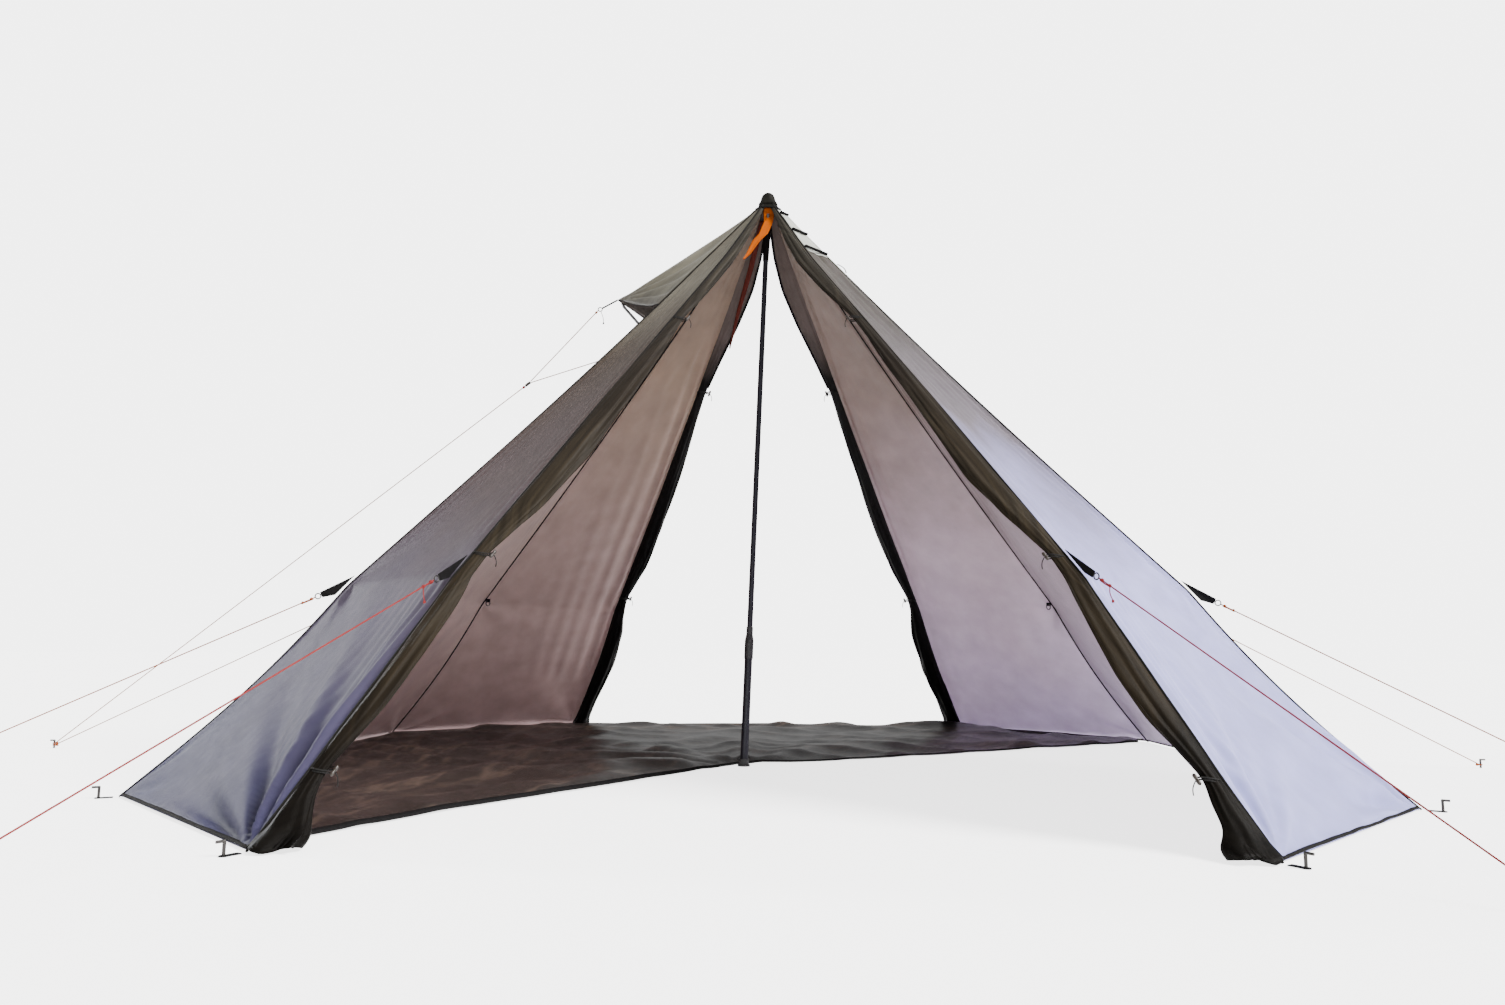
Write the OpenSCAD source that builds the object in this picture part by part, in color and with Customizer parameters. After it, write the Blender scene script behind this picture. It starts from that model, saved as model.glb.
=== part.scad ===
// Eight-sided pyramid tent on one centre pole, pitched with both doors tied back.
// The middle of the footprint is the origin, +Z is up and the front door faces -Y.

/* [Canopy] */
// Height of the cap on the peak above the ground
peak_h = 2500; // [2450:10:2550]
// Half of the distance between two facing sides
half_w = 2000; // [1980:5:2020]
// Half of the width of the two doorways at the ground
door_half = 1180; // [1170:5:1190]
// Half of the width of the left and right sides at the ground
side_half = 1160; // [1150:5:1170]
// Thickness of the canopy cloth with its folds
cloth_t = 3; // [2:0.5:4]
// Height of the bound hem on the ground
hem_h = 12; // [8:1:16]
// Height of the tie-outs on the seams
tie_z = 680; // [660:10:700]

/* [Pole] */
// How far left of the middle the pole stands
foot_left = 85; // [70:5:100]
// How far in front of the middle the pole stands
foot_front = 140; // [130:5:150]
// Outer diameter of the bottom tube
lower_d = 32; // [31:0.5:33]
// Outer diameter of the two upper tubes
mast_d = 23; // [22:0.5:24]
// Wall of every tube
tube_wall = 1.2; // [1:0.1:1.5]

/* [Vent] */
// How far out from the middle the tip of the hood reaches
hood_reach = 665; // [650:5:680]
// Height of the tip of the hood
hood_tip_z = 2000; // [1990:5:2010]
// Length of the prop that holds the hood open
prop_len = 208; // [200:1:208]

/* [Lines] */
// Diameter of the guy lines
line_d = 4; // [3:0.5:4]
// Height of the pegs above the ground
peg_h = 34; // [28:2:40]

/* [Hidden] */
$fn = 32;

// Corners of the footprint, anticlockwise from the left end of the front door
corners = [[-door_half, -half_w], [door_half, -half_w], [half_w, -side_half], [half_w, side_half],
    [door_half, half_w], [-door_half, half_w], [-half_w, side_half], [-half_w, -side_half]];
FRONT_L = 0;
FRONT_R = 1;
RIGHT_F = 2;
RIGHT_B = 3;
BACK_R = 4;
BACK_L = 5;
LEFT_B = 6;
LEFT_F = 7;

// The seams aim at a point just under the cap and hang a little inside the straight line
seam_top = peak_h - 25;
cloth_top = peak_h - 64;
upper_sag = 0.012;
lower_sag = 0.016;
function seam_sag(z) = z > tie_z ? upper_sag * sin(180 * (z - tie_z) / (seam_top - tie_z))
    : lower_sag * sin(180 * z / tie_z);
function seam_share(z) = 1 - z / seam_top - seam_sag(z);
// The front lines hold their two seams further out: heights and how far
front_pull = [[[0, 0], [60, 14], [140, 27], [280, 54], [460, 62], [tie_z, 45], [950, 47], [1300, 45],
        [1700, 28], [2100, 0]],
    [[0, 0], [60, 17], [140, 33], [280, 68], [460, 86], [tie_z, 80], [950, 78], [1300, 70],
        [1700, 42], [2100, 0]]];
function seam_pull(i, z) = i > FRONT_R ? 0 : lookup(z, front_pull[i]) / norm(corners[i]);
function seam(i, z) = let (s = seam_share(z) + seam_pull(i, z)) [corners[i].x * s, corners[i].y * s, z];
function unit(v) = v / norm(v);
function lerp(a, b, t) = a + (b - a) * t;
function next(i) = (i + 1) % 8;
// Level direction that points out of side i
function side_out(i) = let (d = unit(corners[next(i)] - corners[i])) [d.y, -d.x, 0];
// Point on side i at height z, with u from 0 at its first seam to 1 at the next
function on_side(i, u, z) = lerp(seam(i, z), seam(next(i), z), u);

// Closed skin between an outer and an inner grid of points
function cell(r, c, cols) = r * cols + c;
module slab(outer, inner, rows, cols) {
    n = rows * cols;
    front = [for (r = [0:rows - 2], c = [0:cols - 2], half = [0, 1]) half == 0
        ? [cell(r, c, cols), cell(r + 1, c + 1, cols), cell(r, c + 1, cols)]
        : [cell(r, c, cols), cell(r + 1, c, cols), cell(r + 1, c + 1, cols)]];
    back = [for (f = front) [f[0] + n, f[2] + n, f[1] + n]];
    rim = concat([for (c = [0:cols - 1]) cell(0, c, cols)],
        [for (r = [1:rows - 1]) cell(r, cols - 1, cols)],
        [for (c = [cols - 2:-1:0]) cell(rows - 1, c, cols)],
        [for (r = [rows - 2:-1:1]) cell(r, 0, cols)]);
    m = len(rim);
    edge = [for (k = [0:m - 1], half = [0, 1]) let (a = rim[k], b = rim[(k + 1) % m]) half == 0
        ? [a, b, b + n] : [a, b + n, a + n]];
    polyhedron(points = concat(outer, inner), faces = concat(front, back, edge));
}

// Closed solid through a row of rings with the same number of points
module loft(rings) {
    n = len(rings[0]);
    last = (len(rings) - 1) * n;
    walls = [for (r = [0:len(rings) - 2], k = [0:n - 1], half = [0, 1])
        let (a = r * n + k, b = r * n + (k + 1) % n) half == 0 ? [a, b + n, b] : [a, a + n, b + n]];
    start = [for (k = [1:n - 2]) [0, k, k + 1]];
    end = [for (k = [1:n - 2]) [last, last + k + 1, last + k]];
    polyhedron(points = [for (ring = rings) each ring], faces = concat(start, walls, end));
}

// Level oval ring of points, long along the direction d
function oval(p, d, long, wide, n) = [for (k = [0:n - 1]) let (a = 360 * k / n)
    p + d * long * cos(a) + [-d.y, d.x, 0] * wide * sin(a)];

// Round bar from a to b
module bar(a, b, r) {
    v = b - a;
    translate(a) rotate([0, acos(v.z / norm(v)), atan2(v.y, v.x)]) cylinder(h = norm(v), r = r);
}

// Places a child that is drawn along +X at p, pointing along v
module aim(p, v) {
    translate(p) rotate([0, -asin(v.z / norm(v)), atan2(v.y, v.x)]) children();
}

/* Pole */
foot = [-foot_left, -foot_front, 0];
pole_v = [foot_left, foot_front, peak_h - 50];
lower_r = lower_d / 2;
mast_r = mast_d / 2;
slide_gap = 0.3;
foot_r = 25;
foot_h = 30;
foot_floor = 10;
lower_top = 500;
collar_base = 430;
collar_top = 560;
mast_base = 300;
joint_at = 1380;
spigot_len = 120;
spigot_gap = 0.05;
tip_at = 2410;
tip_h = 42;
pole_fn = 48;

module on_pole(s = 0) {
    aim(foot, pole_v) rotate([0, 90, 0]) translate([0, 0, s]) children();
}

module tube(r_out, r_in, from, to) {
    on_pole(from) difference() {
        cylinder(h = to - from, r = r_out, $fn = pole_fn);
        translate([0, 0, -1]) cylinder(h = to - from + 2, r = r_in, $fn = pole_fn);
    }
}

// Upright cup round the end of the leaning bottom tube
module pole_foot() {
    base_h = 7;
    cup_floor = 8;
    bore_r = lower_r + 2;
    color("#1b1b1d") translate(foot) difference() {
        union() {
            cylinder(h = base_h, r = foot_r, $fn = pole_fn);
            cylinder(h = foot_h, r = bore_r + 3, $fn = pole_fn);
        }
        translate([0, 0, cup_floor]) cylinder(h = foot_h, r = bore_r, $fn = pole_fn);
    }
}

module pole_lower() {
    color("#202024") tube(lower_r, lower_r - tube_wall, foot_floor, lower_top);
}

// Twist lock: a tapered sleeve over the end of the bottom tube and round the mast
module pole_collar() {
    wall = 2;
    neck_h = 30;
    grip_h = lower_top - collar_base;
    full_h = collar_top - collar_base;
    color("#26262a") on_pole(collar_base) difference() {
        union() {
            cylinder(h = grip_h + 4, r = lower_r + slide_gap + wall, $fn = pole_fn);
            translate([0, 0, grip_h + 4]) cylinder(h = full_h - grip_h - neck_h - 4,
                r1 = lower_r + slide_gap + wall, r2 = mast_r + slide_gap + wall, $fn = pole_fn);
            translate([0, 0, full_h - neck_h]) cylinder(h = neck_h, r = mast_r + slide_gap + wall,
                $fn = pole_fn);
        }
        translate([0, 0, -1]) cylinder(h = grip_h + 2, r = lower_r + slide_gap, $fn = pole_fn);
        cylinder(h = full_h + 1, r = mast_r + slide_gap, $fn = pole_fn);
    }
}

module pole_middle() {
    color("#1e1e24") tube(mast_r, mast_r - tube_wall, mast_base, joint_at);
}

module pole_upper() {
    spigot_r = mast_r - tube_wall - spigot_gap;
    color("#1e1e24") {
        tube(mast_r, mast_r - tube_wall - 1, joint_at, tip_at);
        tube(spigot_r, spigot_r - 1, joint_at - spigot_len, joint_at);
    }
}

module pole_tip() {
    shoulder = tip_h - mast_r;
    color("#151516") on_pole(tip_at) {
        cylinder(h = shoulder, r = mast_r - 1);
        translate([0, 0, shoulder]) sphere(r = mast_r - 1);
        translate([0, 0, -20]) cylinder(h = 20, r = mast_r - tube_wall - 1);
    }
}

/* Peak */
cap_r = 38;
cap_wall = 3;
socket_base = 2180;
socket_belly = 2300;
socket_top = 2400;

module peak_cap() {
    crown = 17;
    color("#38362f") difference() {
        rotate_extrude() polygon(concat([[0, cloth_top], [cap_r, cloth_top], [cap_r - 1, cloth_top + 8]],
            [for (a = [15:15:90]) [crown * cos(a), peak_h - crown + crown * sin(a)]]));
        translate([0, 0, cloth_top - 1]) cylinder(h = 20, r1 = cap_r - cap_wall, r2 = cap_r - 14);
        translate([0, 0, cloth_top]) cylinder(h = 46, r = mast_r + 2);
    }
}

// Sewn pocket that hangs from the peak and takes the top of the pole
module peak_socket() {
    belly_r = 17;
    color("#0f0f10") difference() {
        union() {
            on_pole(socket_base) cylinder(h = socket_belly - socket_base, r1 = mast_r + 1.5,
                r2 = belly_r);
            on_pole(socket_belly) cylinder(h = socket_top - socket_belly, r1 = belly_r,
                r2 = mast_r + 3);
        }
        on_pole(socket_base - 1) cylinder(h = socket_top - socket_base + 2,
            r = mast_r + slide_gap, $fn = pole_fn);
    }
}

/* Panels */
seam_gap = 3;
panel_sag = 26;
panel_rows = [hem_h, 120, 280, 460, tie_z, 950, 1300, 1700, 2100, cloth_top - 1];
panel_cols = [0, 0.25, 0.5, 0.75, 1];

// Inward sag of the middle of a side, most at mid height
function side_sag(u, z) = panel_sag * sin(180 * u) * sin(180 * min(z / cloth_top, 1));
function skin(i, u, z) = let (w = norm(seam(next(i), z) - seam(i, z)), e = seam_gap / w)
    on_side(i, lerp(e, 1 - e, u), z) - side_out(i) * side_sag(u, z);

module panel(i) {
    outer = [for (z = panel_rows, u = panel_cols) skin(i, u, z)];
    inner = [for (p = outer) p - side_out(i) * cloth_t];
    slab(outer, inner, len(panel_rows), len(panel_cols));
}

// Opening under the vent hood, drawn as its outline on the side of the tent
window_rows = [1930, 2240];
function window_half(z) = side_half * seam_share(z) * 0.7;
function window_outline(grow) = [[-window_half(window_rows[0]) - grow, window_rows[0] - grow],
    [window_half(window_rows[0]) + grow, window_rows[0] - grow],
    [window_half(window_rows[1]) + grow, window_rows[1] + grow],
    [-window_half(window_rows[1]) - grow, window_rows[1] + grow]];
module window_prism(grow) {
    translate([-half_w / 2, 0, 0]) rotate([90, 0, 90]) linear_extrude(half_w / 2)
        polygon(window_outline(grow));
}

module panel_front_right() {
    color("#b9bacb") panel(FRONT_R);
}

module panel_right() {
    color("#a39da8") panel(RIGHT_F);
}

module panel_back_right() {
    color("#a39aa2") panel(RIGHT_B);
}

module panel_back_left() {
    color("#8f7d74") panel(BACK_L);
}

module panel_left() {
    color("#8a8288") difference() {
        panel(LEFT_B);
        window_prism(0);
    }
}

module panel_front_left() {
    color("#8f8d97") panel(LEFT_F);
}

/* Seams and hem */
tape_rows = [0, 60, 140, 280, 460, tie_z, 950, 1300, 1700, 2100, cloth_top - 1];
tape_half = 5;
tape_out = 7;

// Folded binding that runs over every seam from the ground to the cap
module ridge_tapes() {
    color("#2b2824") for (i = [0:7]) {
        out = unit([corners[i].x, corners[i].y, 0]);
        loft([for (z = tape_rows) oval(seam(i, z) + out * tape_out, out, 3, tape_half, 6)]);
    }
}

// Bound edge of the six closed sides
module hem_binding() {
    hem_t = 6;
    clear = 8;
    color("#231f1e") for (i = [FRONT_R, RIGHT_F, RIGHT_B, BACK_L, LEFT_B, LEFT_F]) {
        a = seam(i, 0);
        b = seam(next(i), 0);
        length = norm(b - a) - 2 * clear;
        aim(a, b - a) translate([clear, 0, 0]) cube([length, hem_t, hem_h]);
    }
}

/* Door flaps, rolled back along the seams and tied */
tie_heights = [170, 740, 1720];
flap_top = 2330;
flap_rows = [0, 25, 90, 170, 290, 430, 580, 740, 900, 1080, 1260, 1440, 1600, 1720, 1860, 2020,
    2180, flap_top];
flap_clear = 9;
flap_tied = 24;
flap_depth = 18;
flap_setback = 8;
function swell(z, low, high) = sin(180 * (z - low) / (high - low));
// Half of the width of the roll: drawn in at each tie and slack between
function flap_half(z) = z < tie_heights[0] ? lerp(60, flap_tied, z / tie_heights[0])
    : z < tie_heights[1] ? flap_tied + 30 * swell(z, tie_heights[0], tie_heights[1])
    : z < tie_heights[2] ? flap_tied + 36 * swell(z, tie_heights[1], tie_heights[2])
    : lerp(flap_tied, 12, (z - tie_heights[2]) / (flap_top - tie_heights[2]))
        + 20 * swell(z, tie_heights[2], flap_top);
// Middle of the roll on seam i, towards the middle of its doorway
function flap_mid(i, z) = seam(i, z) - [sign(corners[i].x) * (flap_half(z) + flap_clear),
    sign(corners[i].y) * flap_setback, 0];
function flap_ring(i, z, grow, n) = oval(flap_mid(i, z), [1, 0, 0], flap_half(z) + grow,
    min(flap_depth, flap_half(z) * 0.75) + grow, n);

module flap(i) {
    loft([for (z = flap_rows) flap_ring(i, z, 0, 10)]);
}

module flap_front_left() {
    color("#3d362f") flap(FRONT_L);
}

module flap_front_right() {
    color("#3d362f") flap(FRONT_R);
}

module flap_back_left() {
    color("#1a1716") flap(BACK_L);
}

module flap_back_right() {
    color("#1a1716") flap(BACK_R);
}

// Elastic loop round a rolled flap
loop_half_h = 5;
module tie_loop(i, z) {
    difference() {
        loft([for (k = [z - loop_half_h, z + loop_half_h]) flap_ring(i, k, 4.5, 14)]);
        loft([for (k = [z - 2 * loop_half_h, z + 2 * loop_half_h]) flap_ring(i, k, 2, 14)]);
    }
}

// Barrel toggle that closes a loop, on the doorway side of the roll
module toggle(i, z) {
    toggle_r = 5;
    toggle_len = 32;
    slope = unit(seam(i, z - 50) - seam(i, z + 50));
    side = [-sign(corners[i].x), 0, 0];
    at = flap_mid(i, z) + side * (flap_half(z) + 8 + toggle_r);
    bar(at - slope * toggle_len / 2, at + slope * toggle_len / 2, toggle_r);
}

module front_tie_loops() {
    color("#15120f") for (i = [FRONT_L, FRONT_R], z = tie_heights) tie_loop(i, z);
}

module back_tie_loops() {
    color("#15120f") for (i = [BACK_L, BACK_R], z = [tie_heights[1], tie_heights[2]]) tie_loop(i, z);
}

module flap_toggles() {
    color("#241c16") {
        for (i = [FRONT_L, FRONT_R], z = tie_heights) toggle(i, z);
        for (i = [BACK_L, BACK_R], z = [tie_heights[1], tie_heights[2]]) toggle(i, z);
    }
}

// Coloured strip at the top of a doorway, given as [height, middle, half width] stations
lining_in = 27;
module door_lining(stations, s) {
    strip_t = 2;
    outer = [for (t = stations, u = [-1, 1])
        [t[1] + u * t[2], s * (half_w * seam_share(t[0]) - lining_in), t[0]]];
    inner = [for (p = outer) p - [0, s * strip_t, 0]];
    if (s < 0) slab(outer, inner, len(stations), 2);
    else slab(inner, outer, len(stations), 2);
}

module front_door_lining() {
    color("#d9761a") door_lining([[2085, -102, 2], [2120, -82, 9], [2200, -51, 15], [2250, -30, 17],
        [2330, -4, 18], [2385, 2, 24]], -1);
}

module back_door_lining() {
    color("#4a1310") door_lining([[1900, -150, 3], [2050, -112, 9], [2200, -66, 12], [2330, -36, 13],
        [2385, -20, 12]], 1);
}

/* Zip sliders, left on the strip at the top of each doorway */
zip_z = 2368;
zip_pin_r = 1.2;
zip_pin_out = 5.5;
zip_body = [12, 5, 18];
pull_len = 34;
pull_w = 6;
lean = atan2(half_w, seam_top);
// Frame of the slider on side s, with local Z up the slope of the doorway
module on_zip(s) {
    x = s < 0 ? 0 : -24;
    translate([x, s * (half_w * seam_share(zip_z) - lining_in), zip_z]) rotate([s * lean, 0, 0])
        translate([0, s * (zip_body.y / 2 + 0.5), 0]) children();
}

module zip_slider(s) {
    ear = [1.5, 6, 7];
    color("#0f0f10") on_zip(s) {
        cube(zip_body, center = true);
        for (x = [-1, 1]) translate([x * (zip_body.x - ear.x) / 2, s * zip_pin_out, 0])
            cube(ear, center = true);
        translate([-zip_body.x / 2, s * zip_pin_out, 0]) rotate([0, 90, 0])
            cylinder(h = zip_body.x, r = zip_pin_r);
    }
}

module zip_pull(s) {
    boss_r = 2.5;
    pull_t = 2;
    color("#1a1a1c") on_zip(s) translate([-pull_w / 2, s * zip_pin_out, 0]) difference() {
        union() {
            rotate([0, 90, 0]) cylinder(h = pull_w, r = boss_r);
            translate([0, -pull_t / 2, -pull_len]) cube([pull_w, pull_t, pull_len]);
        }
        translate([-1, 0, 0]) rotate([0, 90, 0]) cylinder(h = pull_w + 2, r = zip_pin_r + 0.08);
    }
}

module zip_slider_front() {
    zip_slider(-1);
}

module zip_pull_front() {
    zip_pull(-1);
}

module zip_slider_back() {
    zip_slider(1);
}

module zip_pull_back() {
    zip_pull(1);
}

/* Vent on the left side */
hood_tip = [-hood_reach, 0, hood_tip_z];
hood_low_z = 1890;
hood_high_z = 2400;
hood_t = 3;
hood_lift = 14;

// One cloth face of the hood, from the front seam of the left side to the ridge
module hood_half() {
    out = unit([-half_w, -side_half, 0]);
    low = seam(LEFT_F, hood_low_z) + out * hood_lift;
    high = seam(LEFT_F, hood_high_z) + out * hood_lift;
    ridge = [-half_w * seam_share(hood_high_z) - hood_lift, 0, hood_high_z + 4];
    drop = [0, 0, -hood_t];
    loft([[low, low + drop, hood_tip + drop, hood_tip], [high, high + drop, ridge + drop, ridge]]);
}

module vent_hood() {
    color("#8b8778") {
        hood_half();
        mirror([0, 1, 0]) hood_half();
    }
}

module vent_mesh() {
    inset = 1;
    outer = [for (z = panel_rows, u = panel_cols) skin(LEFT_B, u, z) - side_out(LEFT_B) * inset];
    inner = [for (p = outer) p - side_out(LEFT_B)];
    color("#17171a") intersection() {
        slab(outer, inner, len(panel_rows), len(panel_cols));
        window_prism(-1.5);
    }
}

// Hinge plate of the prop, on the cloth below the opening
prop_z = 1810;
prop_off = 16;
side_tilt = atan2(half_w, seam_top);
prop_foot = on_side(LEFT_B, 0.5, prop_z) + [side_sag(0.5, prop_z), 0, 0];
prop_normal = [-cos(side_tilt), 0, sin(side_tilt)];
prop_slope = [sin(side_tilt), 0, cos(side_tilt)];
prop_pivot = prop_foot + prop_normal * prop_off;
prop_v = unit(hood_tip - prop_pivot);
prop_rod_r = 4;
prop_half = 20;
prop_pin_r = 3;

module on_prop_foot() {
    translate(prop_foot) rotate([0, side_tilt - 90, 0]) children();
}

module vent_prop_base() {
    plate = [44, 96, 3];
    ear_w = 8;
    ear_y = 34;
    color("#141416") difference() {
        union() {
            on_prop_foot() translate([-plate.x / 2, -plate.y / 2, 4]) cube(plate);
            for (s = [-1, 1]) on_prop_foot() {
                translate([-7, s * ear_y - ear_w / 2, 5]) cube([14, ear_w, prop_off - 5]);
                translate([0, s * ear_y + ear_w / 2, prop_off]) rotate([90, 0, 0])
                    cylinder(h = ear_w, r = 7);
            }
        }
        translate(prop_pivot + [0, 60, 0]) rotate([90, 0, 0]) cylinder(h = 120, r = prop_pin_r + 0.05);
    }
}

module vent_prop() {
    pin_half = 37;
    color("#121214") {
        translate(prop_pivot + [0, pin_half, 0]) rotate([90, 0, 0])
            cylinder(h = 2 * pin_half, r = prop_pin_r);
        for (s = [-1, 1]) {
            base = prop_pivot + [0, s * prop_half, 0];
            bar(base, base + prop_v * prop_len, prop_rod_r);
        }
        translate(prop_pivot + prop_v * (prop_len - prop_rod_r) + [0, prop_half, 0]) rotate([90, 0, 0])
            cylinder(h = 2 * prop_half, r = prop_rod_r - 1);
    }
}

/* Webbing, rings and lines */
ring_r = 9;
ring_wire = 2;
module round_ring() {
    rotate([90, 0, 0]) rotate_extrude() translate([ring_r, 0]) circle(r = ring_wire, $fn = 16);
}

strap_v = unit([-80, 0, -45]);
strap_len = 76;
module vent_strap() {
    color("#101012") {
        aim(hood_tip + strap_v * 2, strap_v) translate([0, -7.5, -1]) cube([strap_len + 2, 15, 2]);
        aim(hood_tip + strap_v * (strap_len + 2 + ring_r + ring_wire), strap_v) round_ring();
    }
}

// Pegs that hold the lines, left to right round the tent
PEG_LEFT = 0;
PEG_SEAM_LEFT = 1;
PEG_FRONT_LEFT = 2;
PEG_FRONT_RIGHT = 3;
PEG_SEAM_RIGHT = 4;
PEG_RIGHT = 5;
pegs = [[-3230, 330, 0], [-2740, -1280, 0], [-1480, -2700, 0], [1470, -2480, 0], [2620, -1250, 0],
    [2980, 50, 0]];
peg_r = 4;
line_on_peg = 14;
second_on_peg = 22;

// Where each seam's tie-out pulls: towards its peg, or down the seam where it holds no line
gusset_len = 80;
gusset_half = 35;
gusset_end = 10;
gusset_out = 16;
function corner_out(i) = unit([corners[i].x, corners[i].y, 0]);
tie_h = [700, 725, tie_z, tie_z, tie_z, tie_z, tie_z, tie_z];
function tie_base(i) = seam(i, tie_h[i]) + corner_out(i) * gusset_out;
tie_pegs = [PEG_FRONT_LEFT, PEG_FRONT_RIGHT, PEG_SEAM_RIGHT, -1, -1, -1, -1, PEG_SEAM_LEFT];
function tie_v(i) = tie_pegs[i] >= 0 ? unit(pegs[tie_pegs[i]] + [0, 0, line_on_peg] - tie_base(i))
    : unit(corner_out(i) * 2.2 - [0, 0, 1]);
function tie_end(i) = tie_base(i) + tie_v(i) * (gusset_len + 2 * (ring_r + ring_wire));

// Triangular webbing gusset that spreads the pull of a line along the seam
module tie_out(i) {
    v = tie_v(i);
    side = unit(cross(v, [0, 0, 1])) * 1.5;
    up = unit(cross(side, v));
    rise = up.z < 0 ? -up : up;
    top = seam(i, tie_h[i] + gusset_half) + corner_out(i) * gusset_out;
    low = seam(i, tie_h[i] - gusset_half) + corner_out(i) * gusset_out;
    tip = tie_base(i) + v * gusset_len;
    root_ring = [top + side, top - side, low - side, low + side];
    tip_ring = [for (q = [[1, 1], [1, -1], [-1, -1], [-1, 1]]) tip + rise * gusset_end * q[0] + side * q[1]];
    loft([tip_ring, root_ring]);
}

module tie_out_patches() {
    color("#101014") for (i = [0:7]) tie_out(i);
}

module tie_out_rings() {
    color("#2a2a2c") for (i = [0:7])
        aim(tie_base(i) + tie_v(i) * (gusset_len + ring_r + ring_wire), tie_v(i)) round_ring();
}

// Pull-outs at the middle of the left and right sides
pull_z = 890;
pull_strap = 46;
function pull_base(s) = on_side(s < 0 ? LEFT_B : RIGHT_F, 0.5, pull_z)
    - [s * side_sag(0.5, pull_z), 0, 0];
function pull_peg(s) = pegs[s < 0 ? PEG_LEFT : PEG_RIGHT] + [0, 0, line_on_peg];
function pull_v(s) = unit(pull_peg(s) - pull_base(s));
function pull_end(s) = pull_base(s) + pull_v(s) * (pull_strap + 2 * (ring_r + ring_wire));

module pull_out_patches() {
    patch_r = 42;
    color("#1b1a1c") for (s = [-1, 1]) {
        translate(pull_base(s)) rotate([0, s * (90 - side_tilt), 0]) translate([0, 0, 2])
            cylinder(h = 3, r = patch_r);
        aim(pull_base(s), pull_v(s)) translate([6, -8, -1]) cube([pull_strap - 6, 16, 2]);
    }
}

module pull_out_rings() {
    color("#2a2a2c") for (s = [-1, 1])
        aim(pull_base(s) + pull_v(s) * (pull_strap + ring_r + ring_wire), pull_v(s)) round_ring();
}

// A taut line swept along its route
module line(route) {
    last = len(route) - 1;
    loft([for (k = [0:last]) let (v = unit(route[min(k + 1, last)] - route[max(k - 1, 0)]),
        a = unit(cross(v, [0, 0, 1])), b = cross(a, v))
        [for (q = [0:7]) route[k] + (a * cos(45 * q) - b * sin(45 * q)) * line_d / 2]]);
}
function on_peg(k, z, from) = let (level = unit([from.x - pegs[k].x, from.y - pegs[k].y, 0]))
    pegs[k] + level * (peg_r + 0.5) + [0, 0, z];
function taut(a, b) = [a, lerp(a, b, 0.25), lerp(a, b, 0.5), lerp(a, b, 0.75), b];

module seam_line(i) {
    color("#c4703a") line(taut(tie_end(i), on_peg(tie_pegs[i], line_on_peg, tie_end(i))));
}

module guy_seam_left() {
    seam_line(LEFT_F);
}

module guy_front_left() {
    seam_line(FRONT_L);
}

module guy_front_right() {
    seam_line(FRONT_R);
}

module guy_seam_right() {
    seam_line(RIGHT_F);
}

module side_line(s) {
    color("#c79a72") line(taut(pull_end(s), on_peg(s < 0 ? PEG_LEFT : PEG_RIGHT, line_on_peg, pull_end(s))));
}

module guy_side_left() {
    side_line(-1);
}

module guy_side_right() {
    side_line(1);
}

// The vent's line splits at a toggle: one leg to the hood, one to the hinge plate of the prop
bridle = [-1064, 48, 1628];
bridle_v = unit(pegs[PEG_LEFT] - bridle);
bridle_half = 13;
bridle_r = 6;
bridle_top = bridle - bridle_v * bridle_half;
bridle_leg_gap = -bridle_v * 2;

module bridle_toggle() {
    color("#2b1710") bar(bridle_top, bridle + bridle_v * bridle_half, bridle_r);
}

module guy_vent_main() {
    start = bridle + bridle_v * bridle_half;
    color("#c79a72") line(taut(start, on_peg(PEG_LEFT, second_on_peg, start)));
}

module guy_vent_leg_tip() {
    color("#c79a72") line(taut(hood_tip + strap_v * (strap_len + 2 + 2 * (ring_r + ring_wire)),
        bridle_top + bridle_leg_gap + [0, 0, 3]));
}

module guy_vent_leg_panel() {
    start = prop_foot - prop_slope * 26 + prop_normal * 8;
    color("#c79a72") line(taut(start, bridle_top + bridle_leg_gap - [0, 0, 3]));
}

// Hooked peg: the part that stands above the ground
module peg(out) {
    hook_len = 20;
    cylinder(h = peg_h, r = peg_r, $fn = 24);
    translate([0, 0, peg_h]) sphere(r = peg_r, $fn = 24);
    bar([0, 0, peg_h], [0, 0, peg_h] + out * hook_len, peg_r - 0.5);
}

module guy_pegs() {
    color("#77797d") for (p = pegs) translate(p) peg(unit(p));
}

corner_reach = 55;
module corner_loops() {
    eyelet_r = 6.5;
    strap_w = 18;
    strap_t = 2.5;
    color("#121214") for (i = [0:7])
        aim([corners[i].x, corners[i].y, 0] + corner_out(i) * gusset_out, corner_out(i))
            linear_extrude(strap_t) difference() {
                union() {
                    translate([0, -strap_w / 2]) square([corner_reach - gusset_out, strap_w]);
                    translate([corner_reach - gusset_out, 0]) circle(d = strap_w + 4);
                }
                translate([corner_reach - gusset_out, 0]) circle(r = eyelet_r);
            }
}

module corner_pegs() {
    color("#77797d") for (i = [0:7])
        translate([corners[i].x, corners[i].y, 0] + corner_out(i) * corner_reach) peg(corner_out(i));
}

/* Hanging rings inside the two side seams at the back */
hang_z = 700;
hang_in = 26;
hang_wire = 4;
hang_r = 11;
hang_drop = hang_r + hang_wire / 2;
function hang_at(i) = seam(i, hang_z) - corner_out(i) * hang_in;

module ring_tabs() {
    tab = [22, 10, 16];
    eye_r = 5;
    color("#101012") for (i = [LEFT_B, RIGHT_B])
        translate(hang_at(i)) rotate([0, 0, atan2(corners[i].y, corners[i].x)]) difference() {
            translate([-10, -tab.y / 2, -8]) cube(tab);
            translate([0, tab.y, 0]) rotate([90, 0, 0]) cylinder(h = 2 * tab.y, r = eye_r);
        }
}

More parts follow.
